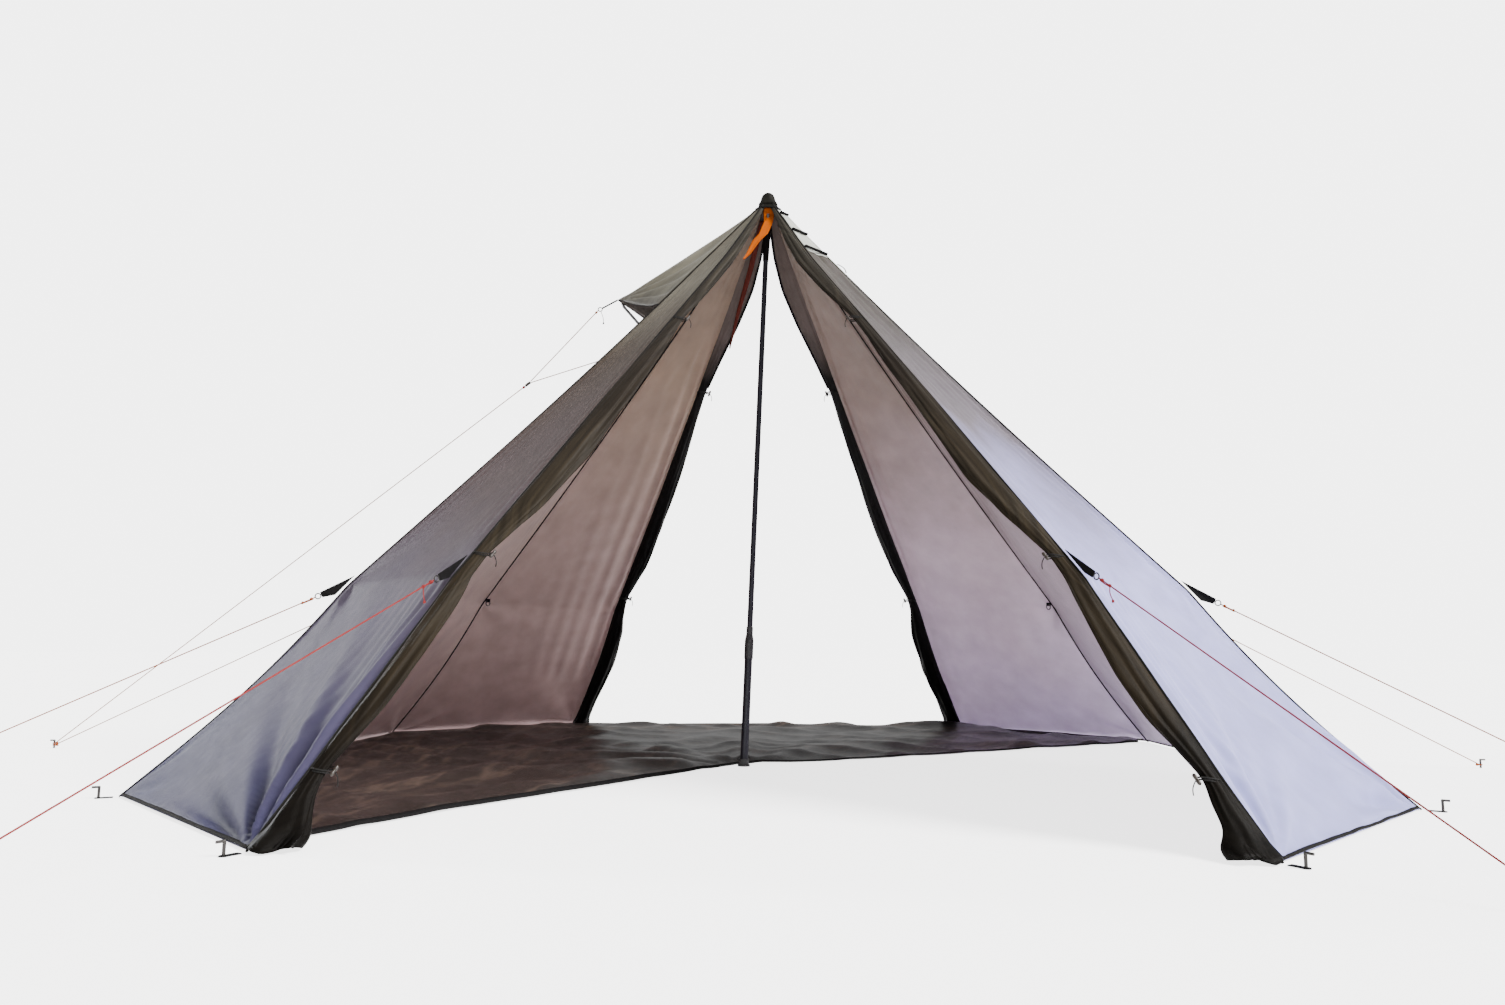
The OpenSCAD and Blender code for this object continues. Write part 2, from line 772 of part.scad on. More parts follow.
module hang_ring(i) {
    color("#0d0d0f") translate(hang_at(i) - [0, 0, hang_drop])
        rotate([0, 0, atan2(corners[i].y, corners[i].x)]) rotate([0, 90, 0]) rotate_extrude($fn = 48)
            translate([hang_r, -hang_wire / 2]) square(hang_wire);
}

module hang_ring_left() {
    hang_ring(LEFT_B);
}

module hang_ring_right() {
    hang_ring(RIGHT_B);
}

/* Stove patch at the top of the front right side */
patch_low = 2130;
patch_high = 2390;
module stove_patch() {
    rows = [patch_low, lerp(patch_low, patch_high, 0.5), patch_high];
    inner = [for (z = rows, u = [0.1, 0.5, 0.9]) skin(FRONT_R, u, z) + side_out(FRONT_R) * 1.5];
    outer = [for (p = inner) p + side_out(FRONT_R) * 2];
    color("#b9bab0") slab(outer, inner, 3, 3);
}

module stove_patch_tabs() {
    tab_h = 12;
    color("#0f0f10") for (z = [patch_low, 2250, 2370]) {
        inner = [for (h = [z, z + tab_h], u = [0.12, 0.88]) skin(FRONT_R, u, h) + side_out(FRONT_R) * 4.5];
        outer = [for (p = inner) p + side_out(FRONT_R) * 2.5];
        slab(outer, inner, 2, 2);
    }
}

/* Groundsheet over the back and left of the floor */
sheet_t = 2;
sheet_front = [[-1140, -1800], [-890, -1300], [-550, -790], [-110, -85], [330, 80], [1200, 640],
    [1920, 1090]];
sheet_inset = 50;
function sheet_corner(i) = corners[i] - unit(corners[i]) * sheet_inset;

module groundsheet() {
    color("#54463f") linear_extrude(sheet_t) polygon(concat(sheet_front,
        [for (i = [RIGHT_B, BACK_R, BACK_L, LEFT_B, LEFT_F]) sheet_corner(i)]));
}

function front_normal(k) = let (v = unit(sheet_front[min(k + 1, len(sheet_front) - 1)]
    - sheet_front[max(k - 1, 0)])) [v.y, -v.x];
module groundsheet_binding() {
    edge_w = 9;
    edge_h = 5;
    ends = [0:len(sheet_front) - 1];
    color("#17130f") linear_extrude(edge_h) polygon(concat(
        [for (k = ends) sheet_front[k] + front_normal(k) * edge_w],
        [for (k = ends) sheet_front[len(sheet_front) - 1 - k]]));
}

peak_cap();
peak_socket();
pole_foot();
pole_lower();
pole_collar();
pole_middle();
pole_upper();
pole_tip();
panel_front_right();
panel_right();
panel_back_right();
panel_back_left();
panel_left();
panel_front_left();
ridge_tapes();
hem_binding();
flap_front_left();
flap_front_right();
flap_back_left();
flap_back_right();
front_door_lining();
back_door_lining();
front_tie_loops();
back_tie_loops();
flap_toggles();
zip_slider_front();
zip_pull_front();
zip_slider_back();
zip_pull_back();
vent_hood();
vent_mesh();
vent_prop();
vent_prop_base();
vent_strap();
stove_patch();
stove_patch_tabs();
tie_out_patches();
pull_out_patches();
tie_out_rings();
pull_out_rings();
ring_tabs();
hang_ring_left();
hang_ring_right();
corner_loops();
corner_pegs();
groundsheet();
groundsheet_binding();
guy_vent_leg_tip();
guy_vent_leg_panel();
guy_vent_main();
guy_side_left();
guy_seam_left();
guy_front_left();
guy_front_right();
guy_seam_right();
guy_side_right();
bridle_toggle();
guy_pegs();
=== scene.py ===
"""Looks of the pyramid tent: cloth, cords, hardware finishes, floor, light and camera.

Every length is in metres, in the frame of the CAD model: +Z is up and the front door faces -Y.
"""
import math

import bmesh
import bpy
import numpy as np
from mathutils import Matrix, Vector
from numpy.linalg import norm


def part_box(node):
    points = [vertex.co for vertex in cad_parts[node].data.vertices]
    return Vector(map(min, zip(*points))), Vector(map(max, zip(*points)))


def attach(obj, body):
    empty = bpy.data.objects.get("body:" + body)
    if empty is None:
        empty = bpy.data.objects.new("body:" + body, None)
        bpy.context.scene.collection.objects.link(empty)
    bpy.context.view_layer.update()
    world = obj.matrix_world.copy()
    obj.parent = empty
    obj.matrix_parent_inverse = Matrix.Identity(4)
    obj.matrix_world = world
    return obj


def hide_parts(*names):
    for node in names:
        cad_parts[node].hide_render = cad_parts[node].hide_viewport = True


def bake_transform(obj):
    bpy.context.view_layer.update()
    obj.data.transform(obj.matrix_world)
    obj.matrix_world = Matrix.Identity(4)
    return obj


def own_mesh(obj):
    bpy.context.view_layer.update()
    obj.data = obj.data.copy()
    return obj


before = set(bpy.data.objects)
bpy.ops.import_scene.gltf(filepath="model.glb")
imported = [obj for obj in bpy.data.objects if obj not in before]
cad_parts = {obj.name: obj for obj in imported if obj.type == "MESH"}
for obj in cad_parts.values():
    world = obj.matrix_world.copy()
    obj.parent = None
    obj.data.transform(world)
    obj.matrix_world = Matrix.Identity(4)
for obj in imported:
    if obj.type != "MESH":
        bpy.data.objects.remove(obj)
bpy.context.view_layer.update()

TAU = 2 * math.pi

# ---- driving sizes
# Heights and half widths of the canopy, the sag of its seams and sides, and the cloth's thickness.
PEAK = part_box("peak_cap")[1][2]
HALF_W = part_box("hem_binding")[1][0]
DOOR_HALF = 1.18
SIDE_HALF = 1.16
TIE_Z = 0.68
SEAM_TOP = PEAK - 0.025
CLOTH_TOP = PEAK - 0.064
UPPER_SAG = 0.012
LOWER_SAG = 0.016
SIDE_SAG = 0.026
CLOTH = 0.0012

CORNERS = np.array([
    (-DOOR_HALF, -HALF_W), (DOOR_HALF, -HALF_W), (HALF_W, -SIDE_HALF), (HALF_W, SIDE_HALF),
    (DOOR_HALF, HALF_W), (-DOOR_HALF, HALF_W), (-HALF_W, SIDE_HALF), (-HALF_W, -SIDE_HALF),
])
FRONT_L, FRONT_R, RIGHT_F, RIGHT_B, BACK_R, BACK_L, LEFT_B, LEFT_F = range(8)
# Stations (height, metres further out) of the front seams, which their guy lines pull on.
FRONT_PULL = {
    FRONT_L: [(0, 0), (.06, .014), (.14, .027), (.28, .054), (.46, .062), (.68, .045),
              (.95, .047), (1.3, .045), (1.7, .028), (2.1, 0)],
    FRONT_R: [(0, 0), (.06, .017), (.14, .033), (.28, .068), (.46, .086), (.68, .080),
              (.95, .078), (1.3, .070), (1.7, .042), (2.1, 0)],
}
# The front tie-outs sit a little higher than the others.
TIE_H = {FRONT_L: 0.700, FRONT_R: 0.725}
# The vent's opening, by height and by share of the side, and its hood.
WINDOW_Z = (1.93, 2.24)
WINDOW_U = (0.15, 0.85)
HOOD_TIP = np.array((-0.665, 0.0, 2.0))
HOOD_Z = (1.89, 2.4)
LINE_R = 0.002
LOOP_R = 0.0019
# Metres of cloth per metre of height.
SLOPE = math.hypot(1, HALF_W / SEAM_TOP)


# ---- geometry helpers
def vec(*values):
    """The numbers as an array."""
    return np.array(values)


def unit(v):
    """The vector, or each vector of an array, at length one."""
    v = np.asarray(v, float)
    return v / norm(v, axis=-1, keepdims=True)


def smooth(x, low, high):
    """0 below low, 1 above high and a soft step between."""
    t = np.clip((np.asarray(x, float) - low) / (high - low), 0, 1)
    return t * t * (3 - 2 * t)


def share(z):
    """How far out the seams are at height z, as a share of the footprint."""
    z = np.asarray(z, float)
    upper = UPPER_SAG * np.sin(np.pi * np.clip((z - TIE_Z) / (SEAM_TOP - TIE_Z), 0, 1))
    lower = LOWER_SAG * np.sin(np.pi * np.clip(z / TIE_Z, 0, 1))
    return 1 - z / SEAM_TOP - np.where(z > TIE_Z, upper, lower)


def pull(i, z):
    """How much further out the front lines hold seam i, as a share of the footprint."""
    if i % 8 not in FRONT_PULL:
        return 0.0 * z
    stations = list(zip(*FRONT_PULL[i % 8]))
    eased = sum(np.interp(z + step, *stations) for step in np.linspace(-0.05, 0.05, 5)) / 5
    return eased * smooth(z, 0, 0.05) / norm(CORNERS[i % 8])


def seam(i, z):
    """Points on seam i at the heights z."""
    z = np.asarray(z, float)
    c = CORNERS[i % 8]
    s = share(z) + pull(i, z)
    return np.stack([c[0] * s, c[1] * s, z], axis=-1)


def span(i):
    """The foot of side i, which runs from seam i to seam i + 1."""
    return CORNERS[(i + 1) % 8] - CORNERS[i]


def side_out(i):
    """Level direction that points out of side i."""
    d = unit(span(i))
    return vec(d[1], -d[0], 0.0)


def side_normal(i):
    """Direction square to the cloth of side i, outwards."""
    x, y, _ = side_out(i) * SEAM_TOP
    return unit(vec(x, y, norm(CORNERS[i] + span(i) / 2)))


def seam_out(i):
    """Level direction that points out along seam i."""
    c = CORNERS[i % 8]
    return unit(vec(c[0], c[1], 0.0))


def noise(x, y, seed, octaves=3):
    """Soft repeatable noise of about -1 to 1, from a few rotated waves an octave."""
    r = np.random.default_rng(seed)
    total = np.zeros(np.broadcast(x, y).shape)
    weight = 0.0
    for octave in range(octaves):
        for _ in range(4):
            a = r.uniform(0, TAU)
            k = 2.0 ** octave * r.uniform(0.7, 1.4)
            phase = r.uniform(0, TAU)
            total = total + np.sin(k * (x * np.cos(a) + y * np.sin(a)) + phase) * 0.6 ** octave
        weight += 2.2 * 0.6 ** octave
    return total / weight


def new_object(name, verts, faces, uvs=None, smooth_shade=True):
    """A mesh object with one UV per vertex, in the row frame."""
    mesh = bpy.data.meshes.new(name)
    mesh.from_pydata([tuple(map(float, v)) for v in verts], [], [tuple(map(int, f)) for f in faces])
    mesh.validate()
    if uvs is not None:
        layer = mesh.uv_layers.new(name="UVMap")
        index = np.zeros(len(mesh.loops), int)
        mesh.loops.foreach_get("vertex_index", index)
        layer.data.foreach_set("uv", np.asarray(uvs, float)[index].astype(np.float32).ravel())
    if smooth_shade:
        mesh.polygons.foreach_set("use_smooth", [True] * len(mesh.polygons))
    mesh.update()
    made = bpy.data.objects.new(name, mesh)
    bpy.context.scene.collection.objects.link(made)
    return made


def grid_faces(rows, cols, closed=False, skip=None):
    """Quads of a grid, with the columns joined up in a ring if closed."""
    faces = []
    for r in range(rows - 1):
        for c in range(cols if closed else cols - 1):
            if skip is None or not skip[r, c]:
                d = (c + 1) % cols
                faces.append((r * cols + c, r * cols + d, (r + 1) * cols + d, (r + 1) * cols + c))
    return faces


def grid_uv(points):
    """UVs in metres: the length along the rows and along the columns of a grid of points."""
    across = norm(np.diff(points, axis=1), axis=2)
    along = norm(np.diff(points, axis=0), axis=2)
    u = np.concatenate([np.zeros((len(points), 1)), np.cumsum(across, axis=1)], axis=1)
    v = np.concatenate([np.zeros((1, points.shape[1])), np.cumsum(along, axis=0)], axis=0)
    u = u - u[:, points.shape[1] // 2][:, None]
    return np.stack([u, np.broadcast_to(v.mean(axis=1)[:, None], u.shape)], axis=-1).reshape(-1, 2)


def cloth_piece(name, points, mats, thickness=CLOTH, skip=None):
    """A sheet from a grid of points, with real thickness and its own finish on the inner face."""
    rows, cols = points.shape[:2]
    made = new_object(name, points.reshape(-1, 3), grid_faces(rows, cols, skip=skip), grid_uv(points))
    if skip is not None:
        drop_loose(made)
    for m in mats:
        made.data.materials.append(m)
    solid = made.modifiers.new("thickness", "SOLIDIFY")
    solid.thickness = thickness
    solid.offset = 0
    if len(mats) > 1:
        solid.material_offset = 1
        solid.material_offset_rim = 0
    return made


def drop_loose(made):
    """Removes the vertices that no face uses."""
    b = bmesh.new()
    b.from_mesh(made.data)
    bmesh.ops.delete(b, geom=[v for v in b.verts if not v.link_faces], context="VERTS")
    b.to_mesh(made.data)
    b.free()


def frames_along(path):
    """Two directions square to the path at each of its points, without twist."""
    tangents = unit(np.gradient(path, axis=0))
    side = np.cross(tangents[0], (0.0, 0.0, 1.0))
    side = unit(side if norm(side) > 1e-3 else vec(1.0, 0.0, 0.0))
    sides = []
    for t in tangents:
        side = unit(side - t * (side @ t))
        sides.append(side)
    sides = np.array(sides)
    return sides, np.cross(tangents, sides)


def tube(name, path, radius, mat, sides=12, flat=1.0):
    """A closed tube along a path. radius is one number or one per point, flat squeezes it one way."""
    path = np.asarray(path, float)
    radius = np.broadcast_to(np.asarray(radius, float), (len(path),))
    a, b = frames_along(path)
    turn = np.linspace(0, TAU, sides, endpoint=False)
    ring = (a[:, None] * np.cos(turn)[None, :, None] + b[:, None] * flat * np.sin(turn)[None, :, None])
    verts = (path[:, None] + ring * radius[:, None, None]).reshape(-1, 3)
    faces = [f[::-1] for f in grid_faces(len(path), sides, closed=True)]
    last = (len(path) - 1) * sides
    faces += [tuple(range(sides)), tuple(last + k for k in reversed(range(sides)))]
    along = np.concatenate([[0], np.cumsum(norm(np.diff(path, axis=0), axis=1))])
    uv = np.stack(np.broadcast_arrays(turn[None, :] / (TAU), along[:, None]), axis=-1)
    made = new_object(name, verts, faces, uv.reshape(-1, 2))
    made.data.materials.append(mat)
    return made


def joined(name, parts):
    """One object from several, which keeps their materials."""
    bpy.ops.object.select_all(action="DESELECT")
    for p in parts:
        p.select_set(True)
    bpy.context.view_layer.objects.active = parts[0]
    bpy.ops.object.join()
    parts[0].name = name
    parts[0].data.name = name
    return parts[0]


def twin(node, mat, bevel=0.0):
    """A copy of a CAD node's mesh with its own material, with rounded edges when bevel is given; the node is
    hidden.
    """
    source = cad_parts[node]
    mesh = source.data.copy()
    mesh.materials.clear()
    mesh.materials.append(mat)
    made = bpy.data.objects.new(node + "_look", mesh)
    bpy.context.scene.collection.objects.link(made)
    if bevel:
        rounded(made, bevel)
        made.data.polygons.foreach_set("use_smooth", [True] * len(mesh.polygons))
    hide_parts(node)
    return made


def rounded(obj, width):
    """Rounds the hard edges of a part."""
    b = obj.modifiers.new("rounded", "BEVEL")
    b.width = width
    b.segments = 2
    b.limit_method = "ANGLE"
    b.angle_limit = math.radians(40)


def slacken(piece):
    """Bakes the piece's place into its mesh."""
    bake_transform(piece)
    return piece


def grounded(piece):
    """The piece stays on the ground."""
    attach(piece, "root")


# ---- materials
def node_material(name, even):
    """A material with its tree, shader, object place and UV. even holds what is the same all over."""
    m = bpy.data.materials.new(name)
    m.use_nodes = True
    t = m.node_tree
    shader = t.nodes["Principled BSDF"]
    for socket, value in even.items():
        shader.inputs[socket].default_value = value
    coords = t.nodes.new("ShaderNodeTexCoord").outputs
    return m, t, shader, coords["Object"], coords["UV"]


def greys(*stops):
    """Stops of a colour ramp that has no hue."""
    return [(at, (value, value, value)) for at, value in stops]


def ramp(tree, fac, stops):
    """A colour ramp with the stops [(position, (r, g, b)), ...]."""
    r = tree.nodes.new("ShaderNodeValToRGB")
    while len(r.color_ramp.elements) < len(stops):
        r.color_ramp.elements.new(0.5)
    for e, (at, colour) in zip(r.color_ramp.elements, stops):
        e.position = at
        e.color = (*colour, 1)
    tree.links.new(fac, r.inputs["Fac"])
    return r.outputs["Color"]


def noise_node(tree, coords, scale, detail=4.0, rough=0.55):
    """Fractal noise of 0 to 1."""
    n = tree.nodes.new("ShaderNodeTexNoise")
    n.inputs["Scale"].default_value = scale
    n.inputs["Detail"].default_value = detail
    n.inputs["Roughness"].default_value = rough
    tree.links.new(coords, n.inputs["Vector"])
    return n.outputs["Fac"]


def math_node(tree, operation, a, b=None):
    """One sum of two sockets or numbers."""
    n = tree.nodes.new("ShaderNodeMath")
    n.operation = operation
    for k, value in enumerate((a, b)):
        if value is None:
            continue
        if isinstance(value, (int, float)):
            n.inputs[k].default_value = value
        else:
            tree.links.new(value, n.inputs[k])
    return n.outputs[0]


def add(tree, a, b):
    """a + b."""
    return math_node(tree, "ADD", a, b)


def mul(tree, a, b):
    """a times b."""
    return math_node(tree, "MULTIPLY", a, b)


def mix_colour(tree, fac, a, b, mode="MIX"):
    """The colours a and b mixed, each a socket or three numbers."""
    n = tree.nodes.new("ShaderNodeMix")
    n.data_type = "RGBA"
    n.blend_type = mode
    for socket, value in ((n.inputs[0], fac), (n.inputs[6], a), (n.inputs[7], b)):
        if isinstance(value, (int, float)):
            socket.default_value = value
        elif isinstance(value, tuple):
            socket.default_value = (*value, 1)
        else:
            tree.links.new(value, socket)
    return n.outputs[2]


def parts_of(tree, vector):
    """The three numbers of a vector socket."""
    split = tree.nodes.new("ShaderNodeSeparateXYZ")
    tree.links.new(vector, split.inputs[0])
    return split.outputs


def threads(tree, uv, pitch):
    """Height of a plain weave with the given pitch in metres."""
    across = parts_of(tree, uv)
    waves = [math_node(tree, "SINE", mul(tree, across[k], TAU / pitch)) for k in (0, 1)]
    return mul(tree, waves[0], waves[1])


def grid_lines(tree, uv, pitch, width):
    """1 on the thicker threads of a ripstop grid and 0 between them."""
    across = parts_of(tree, uv)
    lines = []
    for k in (0, 1):
        cell = math_node(tree, "FRACT", mul(tree, across[k], 1 / pitch))
        lines.append(math_node(tree, "LESS_THAN", cell, width))
    return math_node(tree, "MAXIMUM", lines[0], lines[1])


def bump(tree, shader, height, strength, distance):
    """Fine relief on the shader from a height of about 0 to 1."""
    b = tree.nodes.new("ShaderNodeBump")
    b.inputs["Strength"].default_value = strength
    b.inputs["Distance"].default_value = distance
    tree.links.new(height, b.inputs["Height"])
    tree.links.new(b.outputs["Normal"], shader.inputs["Normal"])


# Painted fold shade and highlights: darker and lighter streaks multiplied into the cloth's colour.
PAINTED_FOLD_SHADE = [(0.3, (0.62, 0.62, 0.62)), (0.5, (0.95, 0.95, 0.95)), (0.72, (1.4, 1.38, 1.3))]
# Painted crease highlights and shade: thin bright lines along the contours of a stretched noise, darker
# between them.
PAINTED_CREASE_HIGHLIGHTS = [(0.30, (0.3, 0.3, 0.3)), (0.42, (0.7, 0.7, 0.7)), (0.475, (0.9, 0.9, 0.9)), (0.5, (2.9, 2.8, 2.5)),
           (0.53, (0.8, 0.8, 0.8)), (0.60, (0.5, 0.5, 0.5)), (0.70, (2.0, 1.9, 1.7))]
RIPSTOP_PITCH = 0.006
THREAD_PITCH = 0.0012


def cloth_material(name, stops, rough=0.5, sheen=0.04, crinkle=0.2, specular=0.1, sub=0.0, painted_shade_scale=None,
                   painted_shades=PAINTED_FOLD_SHADE):
    """Thin coated ripstop: the colour runs with height, with soft mottling and crinkles, and, when streaks
    are asked for, painted shade and highlights of folds.
    """
    even = {"Sheen Weight": sheen, "Sheen Roughness": 0.4, "Specular IOR Level": specular}
    if sub:
        even |= {"Subsurface Weight": sub, "Subsurface Radius": (1.0, 1.0, 1.0), "Subsurface Scale": 0.005}
    m, t, shader, place, uv = node_material(name, even)
    height = mul(t, parts_of(t, place)[2], 1 / PEAK)
    wander = math_node(t, "SUBTRACT", noise_node(t, place, 1.6, 3), 0.5)
    colour = ramp(t, add(t, height, mul(t, wander, 0.25)), stops)
    mottle = ramp(t, noise_node(t, place, 9, 5), greys((0.3, 0.88), (0.7, 1.06)))
    colour = mix_colour(t, 1.0, colour, mottle, "MULTIPLY")
    # Painted shade and highlights of folds, stretched along the cloth's UV.
    if painted_shade_scale:
        stretch = t.nodes.new("ShaderNodeMapping")
        stretch.inputs["Scale"].default_value = painted_shade_scale
        t.links.new(uv, stretch.inputs["Vector"])
        shade = ramp(t, noise_node(t, stretch.outputs["Vector"], 1.0, 4, 0.6), painted_shades)
        colour = mix_colour(t, 1.0, colour, shade, "MULTIPLY")
    lines = grid_lines(t, uv, RIPSTOP_PITCH, 0.12)
    colour = mix_colour(t, mul(t, lines, 0.04), colour, (0.02, 0.02, 0.02))
    t.links.new(colour, shader.inputs["Base Color"])
    gloss = noise_node(t, place, 30, 3)
    t.links.new(add(t, mul(t, gloss, 0.16), rough - 0.08), shader.inputs["Roughness"])
    fine = mul(t, threads(t, uv, THREAD_PITCH), 0.01)
    folds = mul(t, noise_node(t, place, 9, 5, 0.5), crinkle)
    bump(t, shader, add(t, add(t, folds, fine), mul(t, lines, 0.004)), 0.55, 0.012)
    return m


def webbing_material(name, colour=(0.006, 0.0055, 0.006), pitch=0.0022):
    """Woven tape with a ribbed face, a stitched look and worn high spots."""
    m, t, shader, place, _ = node_material(name, {"Roughness": 0.8, "Specular IOR Level": 0.08})
    fuzz = noise_node(t, place, 240, 4)
    worn = noise_node(t, place, 22, 3)
    lit, faded = (tuple(gain * c + 0.002 for c in colour) for gain in (1.8, 2.0))
    base = ramp(t, fuzz, [(0.3, colour), (0.75, lit)])
    t.links.new(mix_colour(t, mul(t, worn, 0.2), base, faded), shader.inputs["Base Color"])
    ribs = t.nodes.new("ShaderNodeTexWave")
    ribs.inputs["Scale"].default_value = 1 / (pitch * math.pi)
    ribs.inputs["Distortion"].default_value = 0.6
    t.links.new(place, ribs.inputs["Vector"])
    bump(t, shader, add(t, ribs.outputs["Fac"], mul(t, fuzz, 0.6)), 0.5, 0.0006)
    return m


def cord_material(name, colour, fleck):
    """Braided cord: a helix of plaits in two shades."""
    m, t, shader, _, uv = node_material(name, {"Roughness": 0.7, "Specular IOR Level": 0.2})
    turn, run = parts_of(t, uv)[:2]
    turns = mul(t, turn, 4.0)
    plaits_along = mul(t, run, 140.0)
    plaits = []
    for way in ("ADD", "SUBTRACT"):
        phase = math_node(t, way, plaits_along, turns)
        plaits.append(math_node(t, "SINE", mul(t, phase, TAU)))
    marks = math_node(t, "GREATER_THAN", mul(t, plaits[0], plaits[1]), 0.45)
    t.links.new(mix_colour(t, marks, colour, fleck), shader.inputs["Base Color"])
    bump(t, shader, math_node(t, "MAXIMUM", plaits[0], plaits[1]), 0.5, 0.0005)
    return m


def solid_material(name, colour, rough, metal, grain, wear, wear_share):
    """Moulded plastic or metal: fine grain, smudged gloss and worn high spots."""
    m, t, shader, place, _ = node_material(name, {"Metallic": metal})
    smudge = noise_node(t, place, grain / 6, 5)
    dark, light = (tuple(c * gain for c in colour) for gain in (0.8, 1.2))
    base = ramp(t, smudge, [(0.35, dark), (0.65, light)])
    spots = ramp(t, noise_node(t, place, grain, 6, 0.7), greys((0.6, 0), (0.72, 1)))
    t.links.new(mix_colour(t, mul(t, spots, wear_share), base, wear), shader.inputs["Base Color"])
    t.links.new(add(t, mul(t, smudge, 0.24), rough - 0.12), shader.inputs["Roughness"])
    bump(t, shader, noise_node(t, place, grain * 8, 4), 0.25, 0.0003)
    return m


def mesh_material(name):
    """Fine insect mesh, drawn as a tight grid of threads."""
    m, t, shader, _, uv = node_material(name, {"Roughness": 0.8})
    lines = grid_lines(t, uv, 0.002, 0.45)
    base = mix_colour(t, lines, (0.004, 0.004, 0.005), (0.035, 0.035, 0.04))
    t.links.new(base, shader.inputs["Base Color"])
    bump(t, shader, lines, 0.6, 0.0004)
    return m


# The two canopy halves are lit and shaded copies of one cloth: the left half's outside and inside carry
# painted shade, the right half's carry painted light, brightest low down on the outside, and the inside of
# the right half's middle side is painted dimmer as shade.
OUTSIDE_LEFT_PAINTED_SHADE = cloth_material("canopy_outside_left_painted_shade", [
    (0.0, (0.030, 0.029, 0.066)), (0.22, (0.062, 0.052, 0.078)), (0.42, (0.058, 0.041, 0.042)),
    (0.65, (0.052, 0.040, 0.032)), (0.8, (0.108, 0.098, 0.078)), (1.0, (0.085, 0.077, 0.059))],
    rough=0.52, sub=0.2, sheen=0.0, specular=0.05)
OUTSIDE_RIGHT_PAINTED_LIGHT = cloth_material("canopy_outside_right_painted_light", [
    (0.0, (0.265, 0.275, 0.52)), (0.3, (0.29, 0.29, 0.54)), (0.52, (0.100, 0.087, 0.102)),
    (0.72, (0.055, 0.048, 0.046)), (1.0, (0.040, 0.035, 0.025))], rough=0.46, sub=0.5)
INSIDE_LEFT_PAINTED_SHADE = cloth_material("canopy_inside_left_painted_shade", [
    (0.0, (0.36, 0.25, 0.25)), (0.35, (0.37, 0.265, 0.25)), (0.7, (0.27, 0.190, 0.145)),
    (1.0, (0.17, 0.125, 0.095))], rough=0.55, sub=0.4)
INSIDE_RIGHT_PAINTED_LIGHT = cloth_material("canopy_inside_right_painted_light", [
    (0.0, (0.40, 0.34, 0.46)), (0.35, (0.34, 0.27, 0.315)), (0.65, (0.165, 0.115, 0.105)),
    (1.0, (0.12, 0.088, 0.068))], rough=0.55, sub=0.85)
INSIDE_RIGHT_SIDE_PAINTED_SHADE = cloth_material("canopy_inside_right_side_painted_shade", [
    (0.0, (0.26, 0.22, 0.295)), (0.35, (0.22, 0.175, 0.205)), (0.65, (0.12, 0.085, 0.08)),
    (1.0, (0.10, 0.075, 0.06))], rough=0.55, sub=0.85)
# The flap's long streaks are painted fold shade and highlights.
FLAP = cloth_material("door_flap", [
    (0.0, (0.003, 0.0025, 0.002)), (0.08, (0.005, 0.004, 0.003)), (0.14, (0.016, 0.012, 0.0075)),
    (0.35, (0.019, 0.015, 0.010)), (0.6, (0.015, 0.012, 0.0095)),
    (0.8, (0.022, 0.019, 0.015)), (1.0, (0.028, 0.025, 0.020))], rough=0.42, crinkle=0.2, sheen=0.0,
    painted_shade_scale=(48, 1.6, 1), specular=0.04)
FLAP_BACK = cloth_material("door_flap_back", [
    (0.0, (0.008, 0.007, 0.0075)), (0.70, (0.008, 0.007, 0.0075)), (0.78, (0.11, 0.085, 0.08)),
    (1.0, (0.12, 0.09, 0.08))], rough=0.5, crinkle=0.3, sheen=0.0)
# The hood's streaks are painted fold shade and highlights.
HOOD = cloth_material("hood_cloth", [
    (0.0, (0.055, 0.05, 0.042)), (0.80, (0.06, 0.055, 0.044)), (0.86, (0.125, 0.116, 0.088)),
    (0.94, (0.13, 0.12, 0.09)), (1.0, (0.07, 0.065, 0.048))], rough=0.5, painted_shade_scale=(14, 3, 1))
HOOD_UNDER = cloth_material("hood_underside", [(0.0, (0.12, 0.105, 0.10)), (1.0, (0.15, 0.13, 0.12))])
# The groundsheet's crease lines are painted highlights and shade.
SHEET = cloth_material("groundsheet_cloth", [
    (0.0, (0.015, 0.0105, 0.009)), (0.5, (0.022, 0.016, 0.013)), (1.0, (0.03, 0.022, 0.018))],
    rough=0.34, crinkle=0.5, sheen=0.0, painted_shade_scale=(1.1, 3.4, 1), painted_shades=PAINTED_CREASE_HIGHLIGHTS, specular=0.5)
# The stove patch's pale colour is a painted highlight.
STOVE_PAINTED_HIGHLIGHT = cloth_material("stove_cloth", [(0.0, (0.36, 0.37, 0.34)), (1.0, (0.42, 0.43, 0.39))], rough=0.7)
CAP = cloth_material("cap_cloth", [
    (0.0, (0.006, 0.006, 0.005)), (1.0, (0.008, 0.0075, 0.006))], rough=0.6, sheen=0.0, specular=0.04)
ORANGE = cloth_material("orange_cloth", [
    (0.0, (0.26, 0.045, 0.0)), (1.0, (0.31, 0.06, 0.0))], rough=0.6, sheen=0.0, specular=0.02)
